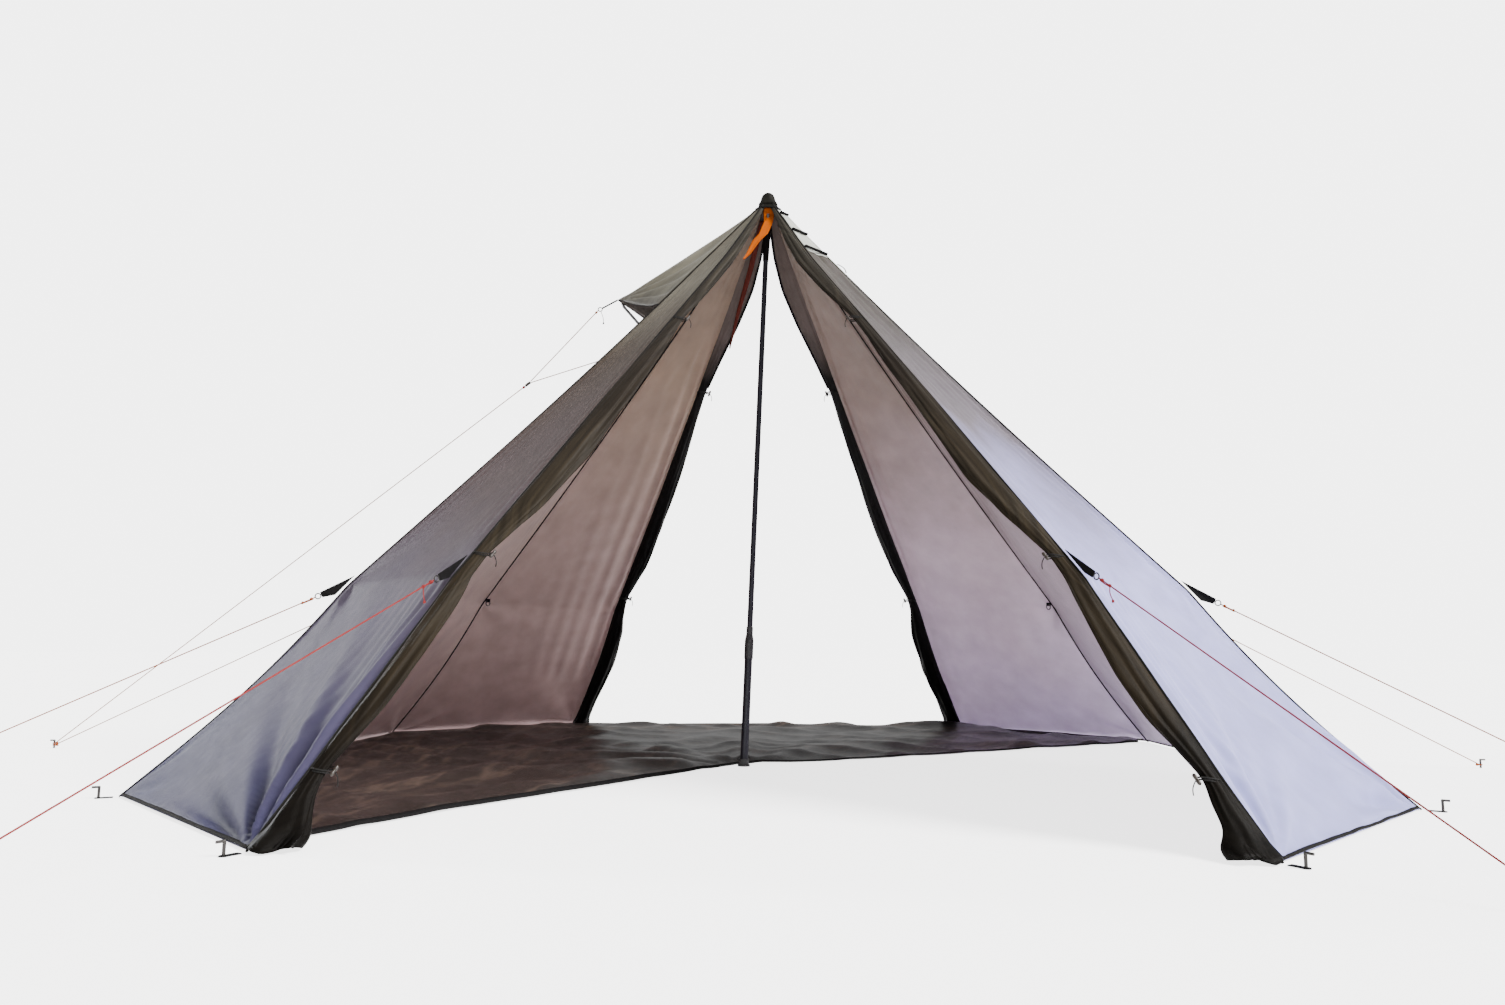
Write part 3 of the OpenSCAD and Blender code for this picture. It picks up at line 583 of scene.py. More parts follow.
# The back door's facing: the orange cloth darkened by painted shade.
ORANGE_PAINTED_SHADE = cloth_material("dark_red_cloth", [
    (0.0, (0.07, 0.012, 0.01)), (1.0, (0.10, 0.018, 0.012))], rough=0.6)
WEB = webbing_material("black_webbing", (0.0022, 0.002, 0.0022))
SEAM_WEB = webbing_material("seam_tape", (0.0045, 0.004, 0.0035))
RED_HEM = webbing_material("hem_tape", (0.016, 0.009, 0.008))
ORANGE_CORD = cord_material("orange_cord", (0.22, 0.038, 0.003), (0.30, 0.07, 0.01))
PALE_CORD = cord_material("pale_orange_cord", (0.22, 0.055, 0.008), (0.30, 0.10, 0.02))
RED_CORD = cord_material("red_cord", (0.17, 0.012, 0.012), (0.22, 0.03, 0.03))
BLACK_CORD = cord_material("black_cord", (0.006, 0.006, 0.006), (0.02, 0.018, 0.016))
POLE = solid_material("pole_tube", (0.012, 0.012, 0.020), 0.34, 0.3, 60, (0.04, 0.04, 0.05), 0.1)
PLASTIC = solid_material("black_plastic", (0.016, 0.016, 0.018), 0.5, 0.0, 120, (0.07, 0.07, 0.07), 0.2)
TOGGLE = solid_material("toggle", (0.016, 0.010, 0.006), 0.45, 0.0, 140, (0.08, 0.05, 0.02), 0.3)
RING = solid_material("ring_metal", (0.016, 0.014, 0.013), 0.4, 0.4, 120, (0.10, 0.08, 0.06), 0.3)
STEEL = solid_material("peg_steel", (0.05, 0.047, 0.045), 0.42, 0.85, 80, (0.16, 0.14, 0.12), 0.3)
MESH = mesh_material("vent_mesh")


# ---- canopy
def from_seam(i, u, z):
    """Distances in metres from the first and the last seam of side i."""
    width = norm(span(i)) * share(z)
    return u * width, (1 - u) * width


def edge_folds(dist, z, wave, reach, low, high, seed):
    """Long folds beside a seam, between two heights, fading away from the seam."""
    between = smooth(z, low, low + 0.12) * (1 - smooth(z, high - 0.15, high))
    drift = 1.1 * noise(1.2 * z, 5 * dist, int(10 * seed) + 3) + 0.8 * np.sin(2.3 * z + seed)
    swell = 0.65 + 0.5 * noise(9 * dist, 1.5 * z, int(10 * seed) + 5)
    fade = np.exp(-dist / reach) * smooth(dist, 0, 0.02)
    return np.sin(TAU * dist / wave + seed + drift) * swell * fade * between


def fan(dist, up, reach, spokes, seed):
    """Wrinkles that fan out of a pulled point. dist runs along the side and up along the slope."""
    rho = np.hypot(dist, up)
    angle = np.arctan2(up, dist)
    drift = 0.12 * np.sin(3 * angle + seed)
    shape = np.sin(spokes * (angle + drift) + seed) + 0.35 * np.sin(1.7 * spokes * angle + 2.3 * seed)
    return shape * (rho / reach) * np.exp(1 - rho / reach) * smooth(rho, 0, 0.05)


def wrinkles(i, u, z):
    """Outward height of the folds on side i, in metres."""
    a, b = from_seam(i, u, z)
    up = z * SLOPE
    height = 0.012 * noise(2.2 * a + 3 * i, 1.6 * up, 11 + i)
    height += 0.0022 * noise(9 * a + i, 3 * up, 31 + i)
    height += 0.004 * fan(a, up, 0.16, 7, 1.3 + i) + 0.004 * fan(b, up, 0.16, 7, 2.1 + i)
    for d, seed in ((a, 0.4 + i), (b, 1.9 + i)):
        height += 0.0022 * fan(d, (z - TIE_Z) * SLOPE, 0.10, 5, seed)
        height += 0.0035 * edge_folds(d, z, 0.06, 0.12, 0.75, 2.3, seed)
    height += 0.0022 * np.sin(TAU * 4.5 * u + i) * np.exp(-(CLOTH_TOP - z) / 0.5)
    if i == LEFT_F:
        height += 0.011 * edge_folds(b, z, 0.056, 0.16, 0.10, 0.76, 0.7)
        height += 0.016 * fan(b, up, 0.22, 15, 0.9)
    if i == FRONT_R:
        height += 0.009 * edge_folds(a, z, 0.05, 0.13, 0.10, 0.80, 1.4)
        height += 0.010 * fan(a, up, 0.20, 13, 1.7) + 0.012 * fan(b, up, 0.24, 11, 0.3)
        height += 0.009 * np.sin(up * 52 + 2.2 * u) * np.exp(-(z / 0.09) ** 2) * smooth(u, 0.35, 0.7)
    if i == BACK_L:
        height += 0.012 * edge_folds(a, z, 0.10, 0.20, 0.25, 2.0, 2.6)
    if i == RIGHT_B:
        height += 0.004 * edge_folds(b, z, 0.07, 0.14, 0.05, 1.9, 0.8)
    edge = smooth(np.minimum(u, 1 - u) * 2, 0, 0.06) * (1 - 0.6 * smooth(z, 1.95, 2.2))
    return height * edge * smooth(z, 0.0, 0.03) * (1 - smooth(z, 2.36, CLOTH_TOP))


def side_points(i, u, z):
    """Points of side i on a grid of u and z, with its sag and folds."""
    a, b = seam(i, z), seam(i + 1, z)
    flat = a + (b - a) * u[..., None]
    sag = SIDE_SAG * np.sin(np.pi * u) * np.sin(np.pi * np.clip(z / CLOTH_TOP, 0, 1))
    return flat + side_out(i) * (-sag)[..., None] + side_normal(i) * wrinkles(i, u, z)[..., None]


ROWS = np.unique(np.concatenate([np.linspace(0.004, 0.72, 70), np.linspace(0.72, WINDOW_Z[0], 84),
                                 np.linspace(*WINDOW_Z, 22), np.linspace(WINDOW_Z[1], CLOTH_TOP, 16)]))
COLS = np.unique(np.concatenate([np.linspace(0, WINDOW_U[0], 31), np.linspace(*WINDOW_U, 60),
                                 np.linspace(WINDOW_U[1], 1, 31)]))


SIDE_NAMES = {FRONT_R: "front_right", RIGHT_F: "right", RIGHT_B: "back_right", BACK_L: "back_left",
              LEFT_B: "left", LEFT_F: "front_left"}


def canopy_half(name, sides, mats):
    """Three sides in one continuous sheet over the two seams between them. mats holds an outer and an
    inner material, and a second pair for the middle side if it has its own painted shade."""
    strips, holes = [], []
    for k, i in enumerate(sides):
        u = COLS if k == 0 else COLS[1:]
        grid_u, grid_z = np.meshgrid(u, ROWS)
        strips.append(side_points(i, grid_u, grid_z))
        inside = (grid_u > WINDOW_U[0] - 1e-6) & (grid_u < WINDOW_U[1] - 1e-6)
        inside &= (grid_z > WINDOW_Z[0] - 1e-6) & (grid_z < WINDOW_Z[1] - 1e-6)
        holes.append(inside & (i == LEFT_B))
    points = np.concatenate(strips, axis=1)
    half = cloth_piece(name, points, mats, skip=np.concatenate(holes, axis=1))
    if len(mats) > 2:
        width = len(COLS) - 1
        for k, face in enumerate(half.data.polygons):
            face.material_index = 2 if k % (3 * width) // width == 1 else 0
    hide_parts(*["panel_" + SIDE_NAMES[i] for i in sides])
    width = sum(norm(span(i)) for i in sides)
    slacken(half)


# The right half carries painted light, the left half painted shade.
canopy_half("canopy_right", (FRONT_R, RIGHT_F, RIGHT_B), (OUTSIDE_RIGHT_PAINTED_LIGHT, INSIDE_RIGHT_PAINTED_LIGHT, OUTSIDE_RIGHT_PAINTED_LIGHT, INSIDE_RIGHT_SIDE_PAINTED_SHADE))
canopy_half("canopy_left", (BACK_L, LEFT_B, LEFT_F), (OUTSIDE_LEFT_PAINTED_SHADE, INSIDE_LEFT_PAINTED_SHADE))


def seam_tapes():
    """Folded tape over each ridge, thin and slightly proud of the cloth."""
    z = np.linspace(0.002, CLOTH_TOP + 0.004, 110)
    parts = []
    for i in range(8):
        parts.append(tube(f"tape_{i}", seam(i, z) + seam_out(i) * 0.0022, 0.0044, SEAM_WEB, 10, 0.65))
        if i in (RIGHT_F, RIGHT_B, LEFT_B, LEFT_F):
            inner = seam(i, z) - seam_out(i) * 0.0045
            parts.append(tube(f"inner_tape_{i}", inner, 0.0045, SEAM_WEB, 10, 0.6))
    made = joined("seam_tapes", parts)
    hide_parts("ridge_tapes")
    slacken(made)


def hem_tapes():
    """Bound edge along the ground on the six closed sides."""
    parts = []
    for i in (FRONT_R, RIGHT_F, RIGHT_B, BACK_L, LEFT_B, LEFT_F):
        u = np.linspace(0.004, 0.996, 60)
        z = np.full_like(u, 0.0085)
        path = side_points(i, u, z)
        path[:, 2] = 0.0088 + 0.0035 * np.abs(noise(14 * u + i, u, 5 + i)) * np.sin(np.pi * u)
        mat = RED_HEM if i in (RIGHT_B, BACK_L) else SEAM_WEB
        parts.append(tube(f"hem_{i}", path, 0.0078, mat, 10, 0.45))
    made = joined("hem_tapes", parts)
    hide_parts("hem_binding")
    grounded(made)


seam_tapes()
hem_tapes()


# ---- rolled doors
TIES_FRONT = (0.17, 0.74, 1.72)
TIES_BACK = (0.74, 1.72)
FLAP_TURNS = 4
FLAP_WIDTHS = {
    FRONT_L: [(0, .13), (.03, .135), (.07, .10), (.12, .062), (.17, .046), (.3, .078), (.45, .084),
              (.6, .068), (.74, .044), (.9, .092), (1.08, .108), (1.3, .100), (1.55, .074), (1.72, .044),
              (1.9, .056), (2.05, .058), (2.2, .046), (2.33, .026), (2.45, .010)],
    FRONT_R: [(0, .125), (.03, .13), (.06, .085), (.1, .080), (.17, .046), (.3, .090), (.42, .098),
              (.58, .072), (.74, .044), (.88, .090), (1.0, .110), (1.25, .090), (1.5, .062), (1.72, .042),
              (1.9, .072), (2.06, .078), (2.2, .060), (2.33, .034), (2.45, .012)],
    BACK_R: [(0, .12), (.05, .09), (.15, .085), (.35, .10), (.55, .088), (.74, .044), (.9, .076), (1.1, .08),
             (1.4, .064), (1.72, .040), (1.85, .056), (2.0, .080), (2.13, .090), (2.25, .074),
             (2.33, .052), (2.43, .020)],
    BACK_L: [(0, .11), (.05, .085), (.15, .08), (.35, .094), (.55, .085), (.74, .044), (.9, .084), (1.1, .09),
             (1.4, .070), (1.72, .042), (1.85, .056), (2.0, .078), (2.13, .086), (2.25, .070),
             (2.33, .050), (2.43, .020)],
}


def flap_width(i, z):
    """Width of the gathered flap on seam i: drawn in at its ties, full between them."""
    return np.interp(z, *zip(*FLAP_WIDTHS[i]))


def flap(name, i, mat, seed):
    """Half a door rolled up along its seam: a flattened spiral with long folds, drawn in at its ties."""
    inward = -np.sign(CORNERS[i][0])
    behind = -np.sign(CORNERS[i][1])
    z = np.linspace(0.003, CLOTH_TOP - 0.004, 240)
    s = np.linspace(0, 1, FLAP_TURNS * 44 + 1)
    S, Z = np.meshgrid(s, z)
    kernel = np.hanning(9) / np.hanning(9).sum()
    width = np.convolve(np.pad(flap_width(i, z), 4, mode="edge"), kernel, mode="valid")
    heights = TIES_FRONT if i in (FRONT_L, FRONT_R) else TIES_BACK
    pinch = np.exp(-(np.subtract.outer(z, heights) / 0.09) ** 2).max(axis=1)[:, None]
    turn = TAU * FLAP_TURNS * S
    around = turn % (TAU)
    drift = 1.5 * noise(1.7 * Z, 0 * Z, seed) + 0.9 * np.sin(5.2 * Z + seed)
    folds = (np.sin(5 * around + 2.2 * drift + 4.0 * Z) + 0.7 * np.sin(8 * around - 1.6 * drift + seed)
             + 0.45 * np.sin(13 * around + 2.8 * drift - 6.0 * Z))
    gathers = np.sin(11 * around + 1.2 * drift) + 0.6 * np.sin(17 * around + seed)
    ease = np.sin(around / 2) ** 0.5
    rumple = 0.05 * noise(2 * around, 9 * Z, seed + 2)
    reach = 1 + ease * (0.12 * folds * (1 - pinch) + 0.11 * gathers * pinch + rumple)
    layer = 1 - 0.62 * S
    half = width[:, None] / 2 * (1 + 0.06 * noise(5 * Z, 0 * Z, seed + 4))
    deep = np.clip(0.36 * half * 2, 0.008, 0.023) * (1 - 0.25 * pinch)
    if i in (BACK_L, BACK_R):
        deep = deep * (1 - 0.6 * smooth(Z, 1.78, 2.0))
    foot = 1 - smooth(Z, 0.0, 0.06)
    deep = deep * (1 + 0.8 * foot)
    P = seam(i, Z)
    P[..., 0] += inward * (half * layer * (1 - np.cos(turn) * reach) - 0.003)
    P[..., 1] += behind * (0.005 * smooth(turn, 0, 1.2) + deep * np.sin(turn) * reach * layer
                           + 0.014 * foot * ease * np.sin(4 * around + seed))
    P[..., 2] += foot * 0.007 * (1 + np.sin(3 * around + seed))
    made = cloth_piece(name, P, (mat,), 0.0009)
    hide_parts(name.replace("_cloth", ""))
    slacken(made)
    if i in (BACK_L, BACK_R):
        zs = np.linspace(1.74, 2.38, 40)
        wide = np.interp(zs, z, width)
        edge = seam(i, zs)
        edge[:, 0] += inward * (wide - 0.002)
        edge[:, 1] += behind * 0.018
        slacken(tube(name.replace("_cloth", "_zip_tape"), edge, 0.0062, WEB, 10, 0.5))


def tie(i, z, parts):
    """Elastic loop round a flap with a barrel toggle and the loop's loose end."""
    w = float(flap_width(i, z)) / 2 + 0.004
    inward = -np.sign(CORNERS[i][0])
    behind = -np.sign(CORNERS[i][1])
    mid = seam(i, z) + vec(inward * (w + 0.001), behind * 0.012, 0)
    a = np.linspace(0, TAU, 41)
    for lift in (-0.0028, 0.0028):
        ring = mid + np.stack([w * 1.1 * np.cos(a), 0.022 * np.sin(a), lift + 0.0025 * np.sin(2 * a)], axis=1)
        parts.append(tube("loop", ring, LOOP_R, BLACK_CORD, 8))
    at = mid + vec(inward * (w * 1.1 + 0.004), -behind * 0.014, 0)
    slope = unit(seam(i, z - 0.05) - seam(i, z + 0.05))
    s = np.linspace(-1, 1, 17)
    barrel = at + slope * (s * 0.016)[:, None]
    radius = 0.0052 * np.sqrt(np.clip(1 - np.abs(s) ** 6, 0.03, 1)) * (1 - 0.32 * np.exp(-(s / 0.16) ** 2))
    parts.append(tube("toggle", barrel, radius, TOGGLE, 16))
    t = np.linspace(0, 1, 10)[:, None]
    tail = at + vec(inward * 0.004, -behind * 0.002, -0.004) + t * vec(inward * 0.006, 0, -0.034)
    tail = tail + vec(inward, 0, 0) * 0.004 * np.sin(np.pi * t)
    parts.append(tube("tail", tail, 0.0015, BLACK_CORD, 8))


ties = []
for i in (FRONT_L, FRONT_R, BACK_L, BACK_R):
    for z in TIES_FRONT if i in (FRONT_L, FRONT_R) else TIES_BACK:
        tie(i, z, ties)
flap_ties = joined("flap_ties", ties)
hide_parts("front_tie_loops", "back_tie_loops", "flap_toggles")
slacken(flap_ties)

flap("flap_front_left_cloth", FRONT_L, FLAP, 41)
flap("flap_front_right_cloth", FRONT_R, FLAP, 52)
flap("flap_back_left_cloth", BACK_L, FLAP_BACK, 63)
flap("flap_back_right_cloth", BACK_R, FLAP_BACK, 74)


def door_strip(name, node, stations, s, mat):
    """Coloured facing at the head of a doorway, from stations of height, middle and half width."""
    heights, middles, halves = (np.array(c) for c in zip(*stations))
    z = np.linspace(heights[0], heights[-1], 60)
    mid, half = np.interp(z, heights, middles), np.interp(z, heights, halves)
    u = np.linspace(-1, 1, 9)
    U, Z = np.meshgrid(u, z)
    x = mid[:, None] + half[:, None] * U
    inset = 0.027 - 0.018 * smooth(Z, 2.375, 2.42) + 0.003 * (1 - U ** 2)
    y = s * (HALF_W * share(Z) - inset + 0.0015 * noise(30 * Z, 3 * U, 9))
    made = cloth_piece(name, np.stack([x, y, Z], axis=-1)[:, ::int(-s)], (mat,))
    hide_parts(node)
    slacken(made)


door_strip("front_door_strip", "front_door_lining", [
    (2.085, -0.100, 0.003), (2.12, -0.080, 0.009), (2.20, -0.050, 0.016), (2.25, -0.019, 0.019),
    (2.33, 0.003, 0.020), (2.385, 0.004, 0.024), (2.425, 0.004, 0.022)], -1, ORANGE)
# The back facing is orange cloth in painted shade.
door_strip("back_door_strip", "back_door_lining", [
    (1.90, -0.184, 0.003), (2.05, -0.138, 0.009), (2.20, -0.083, 0.012), (2.33, -0.044, 0.012),
    (2.385, -0.024, 0.012)], 1, ORANGE_PAINTED_SHADE)


# ---- peak
def outline(z, grow, count=64):
    """Points round the canopy at height z, grown outwards."""
    k = np.linspace(0, 8, count, endpoint=False)
    i = k.astype(int)
    u = k - i
    flat = CORNERS[i] * (1 - u)[:, None] + CORNERS[(i + 1) % 8] * u[:, None]
    flat = flat * float(share(z))
    r = norm(flat, axis=1, keepdims=True)
    return flat * (r + grow) / r


def lifted(flat, z):
    """Level points raised to height z."""
    return np.concatenate([flat, np.full((len(flat), 1), z)], axis=1)


CROWN = [(0.0, 0.046), (0.014, 0.038), (0.028, 0.033), (0.040, 0.030), (0.050, 0.0255), (0.058, 0.017),
         (0.063, 0.007), (0.064, 0.0005)]


def peak_cap():
    """Sewn cap over the top of the cloth, drawn to a round crown of the radii in CROWN."""
    rings = [lifted(outline(z, 0.0045), z) for z in np.linspace(2.408, CLOTH_TOP, 8)]
    base = rings[-1][:, :2]
    turn = np.arctan2(base[:, 1], base[:, 0])
    for t in np.linspace(0.04, 1, 24):
        rise = t * (PEAK - CLOTH_TOP)
        r = float(np.interp(rise, *zip(*CROWN)))
        mix = float(smooth(t, 0, 0.6))
        wave = 1 + 0.04 * np.sin(8 * turn) * (1 - t) + 0.012 * np.sin(21 * turn)
        circle = np.stack([np.cos(turn), np.sin(turn)], axis=1) * (r * wave)[:, None]
        rings.append(lifted(base * (1 - mix) * (r / 0.036) + circle * mix, CLOTH_TOP + rise))
    verts = np.concatenate(rings)
    n = len(base)
    faces = grid_faces(len(rings), n, closed=True)
    faces.append(tuple((len(rings) - 1) * n + k for k in range(n)))
    uv = np.stack([np.tile(np.arange(n) * 0.004, len(rings)), verts[:, 2]], axis=1)
    made = new_object("peak_cap_cloth", verts, faces, uv)
    made.data.materials.append(CAP)
    solid = made.modifiers.new("thickness", "SOLIDIFY")
    solid.thickness = 0.0015
    solid.offset = -1
    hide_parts("peak_cap")
    slacken(made)
    ring = lifted(outline(2.41, 0.0062, 97), 2.41)
    slacken(tube("peak_cap_binding", np.concatenate([ring, ring[:1]]), 0.003, WEB, 8))


peak_cap()


def hood_edge(z):
    """The hood's edge beside the front and the back seam of the left side."""
    return [seam(i, z) + seam_out(i) * 0.0075 for i in (LEFT_F, LEFT_B)]


def vent_hood():
    """Hood of one cloth over the prop, with wrinkles that fan out of its tip."""
    low, high = hood_edge(HOOD_Z[0]), hood_edge(HOOD_Z[1])
    ridge = vec(-HALF_W * float(share(HOOD_Z[1])) - 0.014, 0, HOOD_Z[1] + 0.004)
    s, t = np.linspace(-1, 1, 81), np.linspace(0, 1, 70)
    S, T = np.meshgrid(s, t)
    A = np.abs(S)
    side = np.where(S[..., None] < 0, low[0], low[1])
    neck_side = np.where(S[..., None] < 0, high[0], high[1])
    lip = HOOD_TIP + (side - HOOD_TIP) * A[..., None]
    neck = ridge + (neck_side - ridge) * A[..., None]
    P = lip + (neck - lip) * T[..., None]
    reach = np.hypot(A * 0.28, T * 0.6)
    fans = np.sin(15 * np.arctan2(T * 0.6, A * 0.28 + 1e-6) + 1.2 * np.sin(3 * S))
    fans = fans * (reach / 0.14) * np.exp(1 - reach / 0.14) * smooth(A, 0, 0.15)
    inner = np.sin(np.pi * np.clip(A, 0, 1)) * np.sin(np.pi * np.clip(T * 0.9 + 0.1, 0, 1))
    down = -0.020 * inner + 0.0095 * fans * (1 - smooth(A, 0.85, 1)) * smooth(reach, 0, 0.04)
    rounding = -0.006 * np.exp(-(A / 0.05) ** 2) * smooth(T, 0.0, 0.1)
    P[..., 2] += down + rounding + 0.0015 * noise(9 * S, 9 * T, 19)
    P[..., 0] += 0.010 * np.sin(np.pi * A) * (1 - smooth(T, 0, 0.3))
    made = cloth_piece("vent_hood_cloth", P[:, ::-1], (HOOD, HOOD_UNDER))
    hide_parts("vent_hood")
    across = 2 * norm(low[0] - HOOD_TIP)
    down_slope = norm(ridge - HOOD_TIP)
    slacken(made)
    slacken(tube("vent_hood_hem", P[0], 0.0018, WEB, 8))


def vent_window():
    """Mesh in the vent's opening and the tape round it."""
    U, Z = np.meshgrid(np.linspace(*WINDOW_U, 40), np.linspace(*WINDOW_Z, 22))
    P = side_points(LEFT_B, U, Z)
    made = cloth_piece("vent_mesh_cloth", P - side_normal(LEFT_B) * 0.0022, (MESH,), 0.0006)
    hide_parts("vent_mesh")
    slacken(made)
    rim = np.concatenate([P[0], P[1:, -1], P[-1, -2::-1], P[-2::-1, 0]]) + side_normal(LEFT_B) * 0.0012
    slacken(tube("vent_window_tape", rim, 0.0055, WEB, 8, 0.4))


vent_hood()
vent_window()
slacken(twin("vent_strap", WEB))
slacken(twin("vent_prop_base", PLASTIC, 0.0008))
prop = twin("vent_prop", PLASTIC, 0.0004)
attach(prop, "prop")
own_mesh(prop)


# ---- stove patch
def stove_patch():
    """Cloth patch on the front right side, pale with painted highlight, with three straps and a tab."""
    low, high = 2.13, 2.39
    U, Z = np.meshgrid(np.linspace(0.08, 0.92, 30), np.linspace(low, high, 36))
    lift = 0.0035 + 0.0016 * noise(12 * U, 40 * Z, 23)
    P = side_points(FRONT_R, U, Z) + side_normal(FRONT_R) * lift[..., None]
    made = cloth_piece("stove_patch_cloth", P, (STOVE_PAINTED_HIGHLIGHT,), 0.0014)
    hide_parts("stove_patch")
    width = 0.84 * float(share(low)) * norm(span(FRONT_R))
    slacken(made)
    parts = []
    for z in (2.145, 2.255, 2.365):
        u = np.linspace(0.05, 0.95, 24)
        ends = seam(FRONT_R, z), seam(RIGHT_F, z)
        at = ends[0] + (ends[1] - ends[0]) * u[:, None] + side_normal(FRONT_R) * 0.010
        parts.append(tube("strap", at, 0.0075, WEB, 10, 0.75))
    z = np.linspace(2.10, 2.055, 12)
    tab = seam(RIGHT_F, z) + seam_out(RIGHT_F) * (0.012 + 0.01 * np.sin(np.linspace(0, np.pi, 12)))[:, None]
    parts.append(tube("tab", tab, 0.0045, WEB, 10, 0.4))
    straps = joined("stove_patch_straps", parts)
    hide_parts("stove_patch_tabs")
    slacken(straps)


stove_patch()


# ---- groundsheet
SHEET_FRONT = np.array([(-1.14, -1.8), (-0.89, -1.3), (-0.55, -0.79), (-0.11, -0.085), (0.33, 0.08),
                        (1.2, 0.64), (1.92, 1.09)])
SHEET_INSET = 0.038


def along(points, count):
    """Points spread evenly by length along a polyline."""
    points = np.asarray(points, float)
    run = np.concatenate([[0], np.cumsum(norm(np.diff(points, axis=0), axis=1))])
    at = np.linspace(0, run[-1], count)
    return np.stack([np.interp(at, run, points[:, k]) for k in range(points.shape[1])], axis=1)


def groundsheet():
    """Loose coated sheet with creases that run out of the pole's foot and its corners."""
    back = [CORNERS[i] - unit(CORNERS[i]) * SHEET_INSET for i in (LEFT_F, LEFT_B, BACK_L, BACK_R, RIGHT_B)]
    cols, rows = 220, 170
    front = along(SHEET_FRONT, cols)
    rear = along(back, cols)
    t = np.linspace(0, 1, rows)[:, None, None]
    flat = front[None] * (1 - t) + rear[None] * t
    x, y = flat[..., 0], flat[..., 1]
    foot = vec(-0.085, -0.14)
    rho = np.hypot(x - foot[0], y - foot[1])
    angle = np.arctan2(y - foot[1], x - foot[0])
    rays = np.abs(np.sin(5 * angle + 0.8 * noise(1.5 * x, 1.5 * y, 61))) ** 3
    rays = rays * np.exp(-((rho - 0.7) / 0.7) ** 2)
    long_creases = np.abs(np.sin(9 * (0.35 * x + y) + 1.6 * noise(2 * x, 2 * y, 62))) ** 6
    cross = np.abs(np.sin(6 * (x - 0.5 * y) + 2.2 * noise(1.7 * x, 2.3 * y, 63))) ** 8
    broad = 0.5 + 0.5 * noise(2.6 * x, 3.6 * y, 64)
    fine = noise(16 * x, 20 * y, 65, 4)
    height = 0.022 * rays + 0.028 * long_creases * broad + 0.022 * cross * (1 - broad) + 0.014 * broad ** 2
    height += 0.0026 * fine
    edge = smooth(t[..., 0], 0, 0.03) * (1 - smooth(t[..., 0], 0.985, 1.0))
    back_bumps = np.exp(-((y - 1.9) / 0.06) ** 2) * (0.5 + 0.5 * np.sin(13 * x + 2 * np.sin(3 * x)))
    near_pole = smooth(rho, 0.03, 0.12)
    z = 0.0015 + np.clip(height, 0, 0.04) * (0.15 + 0.85 * edge) * near_pole + 0.022 * back_bumps ** 2
    across = np.linspace(0, 1, cols)[None, :]
    ends = np.maximum(1 - smooth(across, 0, 0.008), smooth(across, 0.994, 1))
    lip = np.maximum(smooth(t[..., 0], 0.985, 1.0), ends)
    z = z + 0.019 * lip * smooth(t[..., 0], 0.0, 0.2) * (0.8 + 0.25 * noise(5 * x, 5 * y, 67))
    P = np.stack([x, y, z], axis=-1)
    made = cloth_piece("groundsheet_cloth", P[::-1], (SHEET,), 0.001)
    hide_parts("groundsheet")
    grounded(made)
    rim = P[0] + vec(0, 0, 0.004)
    rim[:, 2] += 0.0015 * (1 + noise(8 * rim[:, 0], rim[:, 1], 66))
    left = smooth(-rim[:, 0], 0.05, 0.4)
    band = tube("groundsheet_band", rim, 0.005 + 0.010 * left, WEB, 10, 0.5)
    band.data.transform(Matrix.Translation((0, 0, 0.001)))
    low = min(v.co.z for v in band.data.vertices)
    band.data.transform(Matrix.Translation((0, 0, max(0.0, -low))))
    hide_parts("groundsheet_binding")
    grounded(band)


groundsheet()


# ---- tie-outs, lines and pegs
PEGS = {
    "left": (-3.23, 0.33), "seam_left": (-2.74, -1.28), "front_left": (-1.48, -2.70),
    "front_right": (1.47, -2.48), "seam_right": (2.62, -1.25), "right": (2.98, 0.05),
}
# Heights of the lines' loops on a peg, then how far rings and webbing stand out from the cloth.
LINE_ON_PEG = 0.014
SECOND_ON_PEG = 0.022
PEG_R = 0.004
RING_OUT = 0.022
TIE_REACH = 0.080
PULL_REACH = 0.046
PULL_Z = 0.89
TAIL_R = 0.0014
TIE_PEG = {FRONT_L: "front_left", FRONT_R: "front_right", RIGHT_F: "seam_right", LEFT_F: "seam_left"}


def peg_point(name, start, z):
    """Where a line from start meets its peg."""
    p = vec(*PEGS[name], 0.0)
    level = unit(vec(start[0] - p[0], start[1] - p[1], 0.0))
    return p + level * (PEG_R + 0.0005) + vec(0, 0, z)


def tie_base(i):
    """Where the tie-out of seam i is sewn on."""
    return seam(i, TIE_H.get(i, TIE_Z)) + seam_out(i) * 0.016


def knot(at, way, mat, size=0.0042):
    """Small overhand knot: a squashed coil round the line."""
    way = unit(way)
    side = unit(np.cross(way, (0.1, 0.2, 1.0)))
    up = np.cross(way, side)
    a = np.linspace(0, 5 * np.pi, 70)
    path = at + way * ((a / (5 * np.pi) - 0.5) * size * 1.7)[:, None]
    path = path + size * 0.62 * (side * np.cos(a)[:, None] + up * np.sin(a)[:, None])
    return tube("knot", path, size * 0.42, mat, 8)


def line(name, start, end, mat):
    """A taut guy line between both of its ends."""
    path = start + (end - start) * np.linspace(0, 1, 21)[:, None]
    made = tube(name + "_cord", path, LINE_R, mat, 10)
    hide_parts(name)
    float(norm(end - start))
    slacken(made)


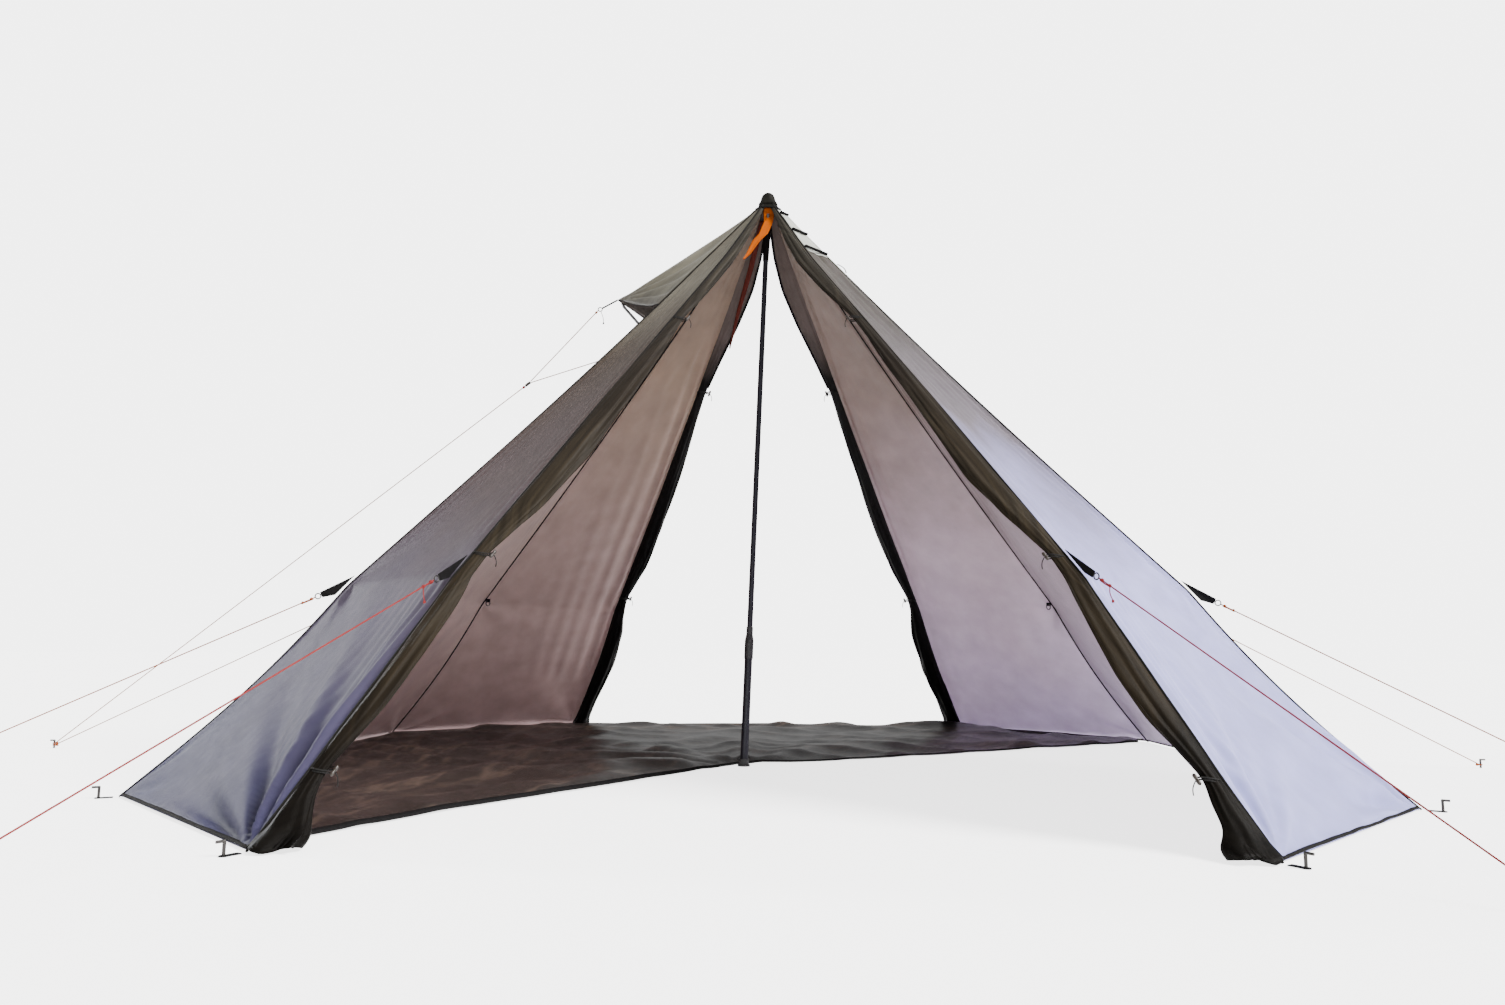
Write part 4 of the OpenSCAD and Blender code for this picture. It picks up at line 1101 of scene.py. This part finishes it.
def hanging_tail(name, at, mat, length, sway=(0.006, -0.004)):
    """Loose end of a knot, which hangs and ends in a small knot of its own."""
    t = np.linspace(0, 1, 16)[:, None]
    bow = np.sin(np.pi * t) * vec(sway[1], sway[0], 0) * 0.6
    path = at + t * vec(*sway, -length) + bow
    made = tube(name, path, TAIL_R, mat, 8)
    run = float(norm(np.diff(path, axis=0), axis=1).sum())
    end = knot(path[-1] - vec(0, 0, 0.003), (0, 0, 1), mat, 0.0036)
    end.name = name + "_knot"
    slacken(end)
    slacken(made)


hardware = []
for i, peg in TIE_PEG.items():
    base = tie_base(i)
    v = unit(vec(*PEGS[peg], LINE_ON_PEG) - base)
    start = base + v * (TIE_REACH + RING_OUT)
    front = i in (FRONT_L, FRONT_R)
    mat = RED_CORD if front else ORANGE_CORD
    line("guy_" + peg, start, peg_point(peg, start, LINE_ON_PEG), mat)
    hardware.append(knot(start + v * 0.012, v, mat, 0.0052))
    hardware.append(knot(start + v * 0.042, v, mat, 0.0046))
    side = unit(np.cross(v, (0, 0, 1.0)))
    t = np.linspace(0, 1, 12)[:, None]
    second = start + v * (0.006 + 0.036 * t) + side * 0.0045 * np.sin(np.pi * t) - vec(0, 0, 0.003)
    hardware.append(tube("double", second, 0.0017, mat, 8))
    if front:
        hanging_tail(f"guy_{peg}_tail", start + v * 0.042 + vec(0, 0, -0.004), mat, 0.036)

for way, peg in ((-1, "left"), (1, "right")):
    sagged = HALF_W * float(share(PULL_Z)) - SIDE_SAG * math.sin(math.pi * PULL_Z / CLOTH_TOP)
    base = vec(way * sagged, 0, PULL_Z)
    v = unit(vec(*PEGS[peg], LINE_ON_PEG) - base)
    start = base + v * (PULL_REACH + RING_OUT)
    line("guy_side_" + peg, start, peg_point(peg, start, LINE_ON_PEG), PALE_CORD)
    hardware.append(knot(start + v * 0.012, v, PALE_CORD, 0.0052))

BRIDLE = vec(-1.064, 0.048, 1.628)
PROP_FOOT_Z = 1.81
STRAP_REACH = 0.078
bridle_v = unit(vec(*PEGS["left"], 0.0) - BRIDLE)
bridle_top = BRIDLE - bridle_v * 0.015
strap_v = unit(vec(-80.0, 0, -45.0))
lean = math.atan2(HALF_W, SEAM_TOP)
normal_left = vec(-math.cos(lean), 0, math.sin(lean))
slope_left = vec(math.sin(lean), 0, math.cos(lean))
foot_sag = SIDE_SAG * math.sin(math.pi * PROP_FOOT_Z / CLOTH_TOP)
prop_foot = vec(-HALF_W * float(share(PROP_FOOT_Z)) + foot_sag, 0, PROP_FOOT_Z)
leg_tip = HOOD_TIP + strap_v * (STRAP_REACH + RING_OUT)
leg_panel = prop_foot - slope_left * 0.026 + normal_left * 0.008
line("guy_vent_leg_tip", leg_tip, bridle_top + vec(0, 0, 0.003), PALE_CORD)
line("guy_vent_leg_panel", leg_panel, bridle_top - vec(0, 0, 0.003), PALE_CORD)
main_start = BRIDLE + bridle_v * 0.013
line("guy_vent_main", main_start, peg_point("left", main_start, SECOND_ON_PEG), PALE_CORD)
hardware.append(knot(leg_tip + unit(bridle_top - leg_tip) * 0.012, bridle_top - leg_tip, PALE_CORD, 0.005))
hardware.append(knot(main_start + bridle_v * 0.01, bridle_v, RED_CORD, 0.0056))
strap_end = HOOD_TIP + strap_v * 0.085 + vec(0, 0, -0.012)
hanging_tail("vent_strap_tail", strap_end, BLACK_CORD, 0.05, (0.012, 0.004))
slacken(joined("line_knots", hardware))
slacken(twin("bridle_toggle", TOGGLE, 0.0008))
slacken(twin("tie_out_patches", WEB, 0.0006))
slacken(twin("pull_out_patches", WEB, 0.0006))
slacken(twin("tie_out_rings", RING))
slacken(twin("pull_out_rings", RING))


def peg_loops():
    """Each line's loop round its peg, with its knot. The left peg holds two lines."""
    parts = []
    a = np.linspace(0, TAU, 30)
    for name, place in PEGS.items():
        mat = RED_CORD if name.startswith("front") else ORANGE_CORD
        outward = vec(*place, 0.0)
        for z in (LINE_ON_PEG, SECOND_ON_PEG) if name == "left" else (LINE_ON_PEG,):
            at = vec(*place, z)
            ring = at + np.stack([np.cos(a), np.sin(a), 0.12 * np.sin(a)], axis=1) * (PEG_R + 0.0022)
            parts.append(tube("loop", ring, LOOP_R, mat, 8))
            parts.append(knot(at - unit(outward) * 0.014, outward, mat, 0.005))
    made = joined("peg_loops", parts)
    grounded(made)


peg_loops()

# ---- CAD parts that stay, with their finishes
FINISH = {
    PLASTIC: ("pole_foot", "pole_collar", "pole_tip", "zip_slider_front", "zip_pull_front", "zip_slider_back",
              "zip_pull_back", "hang_ring_left", "hang_ring_right"),
    POLE: ("pole_lower", "pole_middle", "pole_upper"),
    WEB: ("peak_socket", "ring_tabs", "corner_loops"),
    STEEL: ("corner_pegs", "guy_pegs"),
}
for mat, nodes in FINISH.items():
    for node in nodes:
        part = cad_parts[node]
        if not part.material_slots:
            part.data.materials.append(mat)
        for holder in part.material_slots:
            holder.material = mat
        if mat != STEEL:
            rounded(part, 0.0005)


# ---- floor, light and camera
def floor_material():
    """Plain pale floor that glows a little, and more to the eye than as a light."""
    m, t, shader, place, _ = node_material("floor", {"Roughness": 0.9, "Emission Color": (1, 1, 1, 1)})
    colour = ramp(t, noise_node(t, place, 0.8, 3), greys((0.3, 0.80), (0.7, 0.82)))
    t.links.new(colour, shader.inputs["Base Color"])
    path = t.nodes.new("ShaderNodeLightPath")
    glow = add(t, mul(t, path.outputs["Is Camera Ray"], 1.5), 1.2)
    t.links.new(glow, shader.inputs["Emission Strength"])
    return m


def stage():
    """Wide round floor under the tent."""
    n = 96
    a = np.linspace(0, TAU, n, endpoint=False)
    verts = np.stack([60 * np.cos(a), 60 * np.sin(a), np.full(n, -0.001)], axis=1)
    floor = new_object("floor", verts, [tuple(range(n))], smooth_shade=False)
    floor.data.materials.append(floor_material())


def soft_light(name, toward, strength, softness, colour):
    """A far, wide softbox that shines the way toward points."""
    data = bpy.data.lights.new(name, "SUN")
    data.energy = strength
    data.angle = math.radians(softness)
    data.color = colour
    made = bpy.data.objects.new(name, data)
    bpy.context.scene.collection.objects.link(made)
    made.rotation_mode = "QUATERNION"
    made.rotation_quaternion = Vector(toward).to_track_quat("-Z", "Y")
    return made


def world_light(strength, seen):
    """Even studio light. The backdrop is brighter to the eye than the light it gives."""
    world = bpy.data.worlds.new("studio")
    bpy.context.scene.world = world
    world.use_nodes = True
    tree = world.node_tree
    light = tree.nodes["Background"]
    light.inputs["Color"].default_value = (1, 1, 1, 1)
    light.inputs["Strength"].default_value = strength
    backdrop = tree.nodes.new("ShaderNodeBackground")
    backdrop.inputs["Color"].default_value = (1, 1, 1, 1)
    backdrop.inputs["Strength"].default_value = seen
    path = tree.nodes.new("ShaderNodeLightPath")
    mix = tree.nodes.new("ShaderNodeMixShader")
    tree.links.new(path.outputs["Is Camera Ray"], mix.inputs["Fac"])
    tree.links.new(light.outputs[0], mix.inputs[1])
    tree.links.new(backdrop.outputs[0], mix.inputs[2])
    tree.links.new(mix.outputs[0], tree.nodes["World Output"].inputs["Surface"])


def camera():
    """Low camera in front of the door, looking slightly up, as the photograph was taken."""
    at = vec(0.024, -4.469, 0.4755)
    yaw, pitch, roll = (math.radians(v) for v in (-1.081, 7.883, 0.422))
    forward = vec(math.sin(yaw) * math.cos(pitch), math.cos(yaw) * math.cos(pitch), math.sin(pitch))
    level = vec(math.cos(yaw), -math.sin(yaw), 0.0)
    up = np.cross(level, forward)
    right = math.cos(roll) * level + math.sin(roll) * up
    up = -math.sin(roll) * level + math.cos(roll) * up
    data = bpy.data.cameras.new("camera")
    data.sensor_width = 36.0
    data.lens = 25.02
    data.clip_start = 0.05
    data.clip_end = 200.0
    made = bpy.data.objects.new("camera", data)
    bpy.context.scene.collection.objects.link(made)
    rows = np.stack([right, up, -forward, at], axis=1).tolist()
    made.matrix_world = Matrix(rows + [[0, 0, 0, 1]])
    bpy.context.scene.camera = made


stage()
world_light(0.6, 5.0)
soft_light("key", (-1.0, 0.45, -0.95), 10.5, 28, (1.0, 0.985, 0.97))
soft_light("side", (0.84, -0.52, -0.36), 2.3, 7, (0.96, 0.98, 1.0))
camera()

bpy.context.view_layer.update()
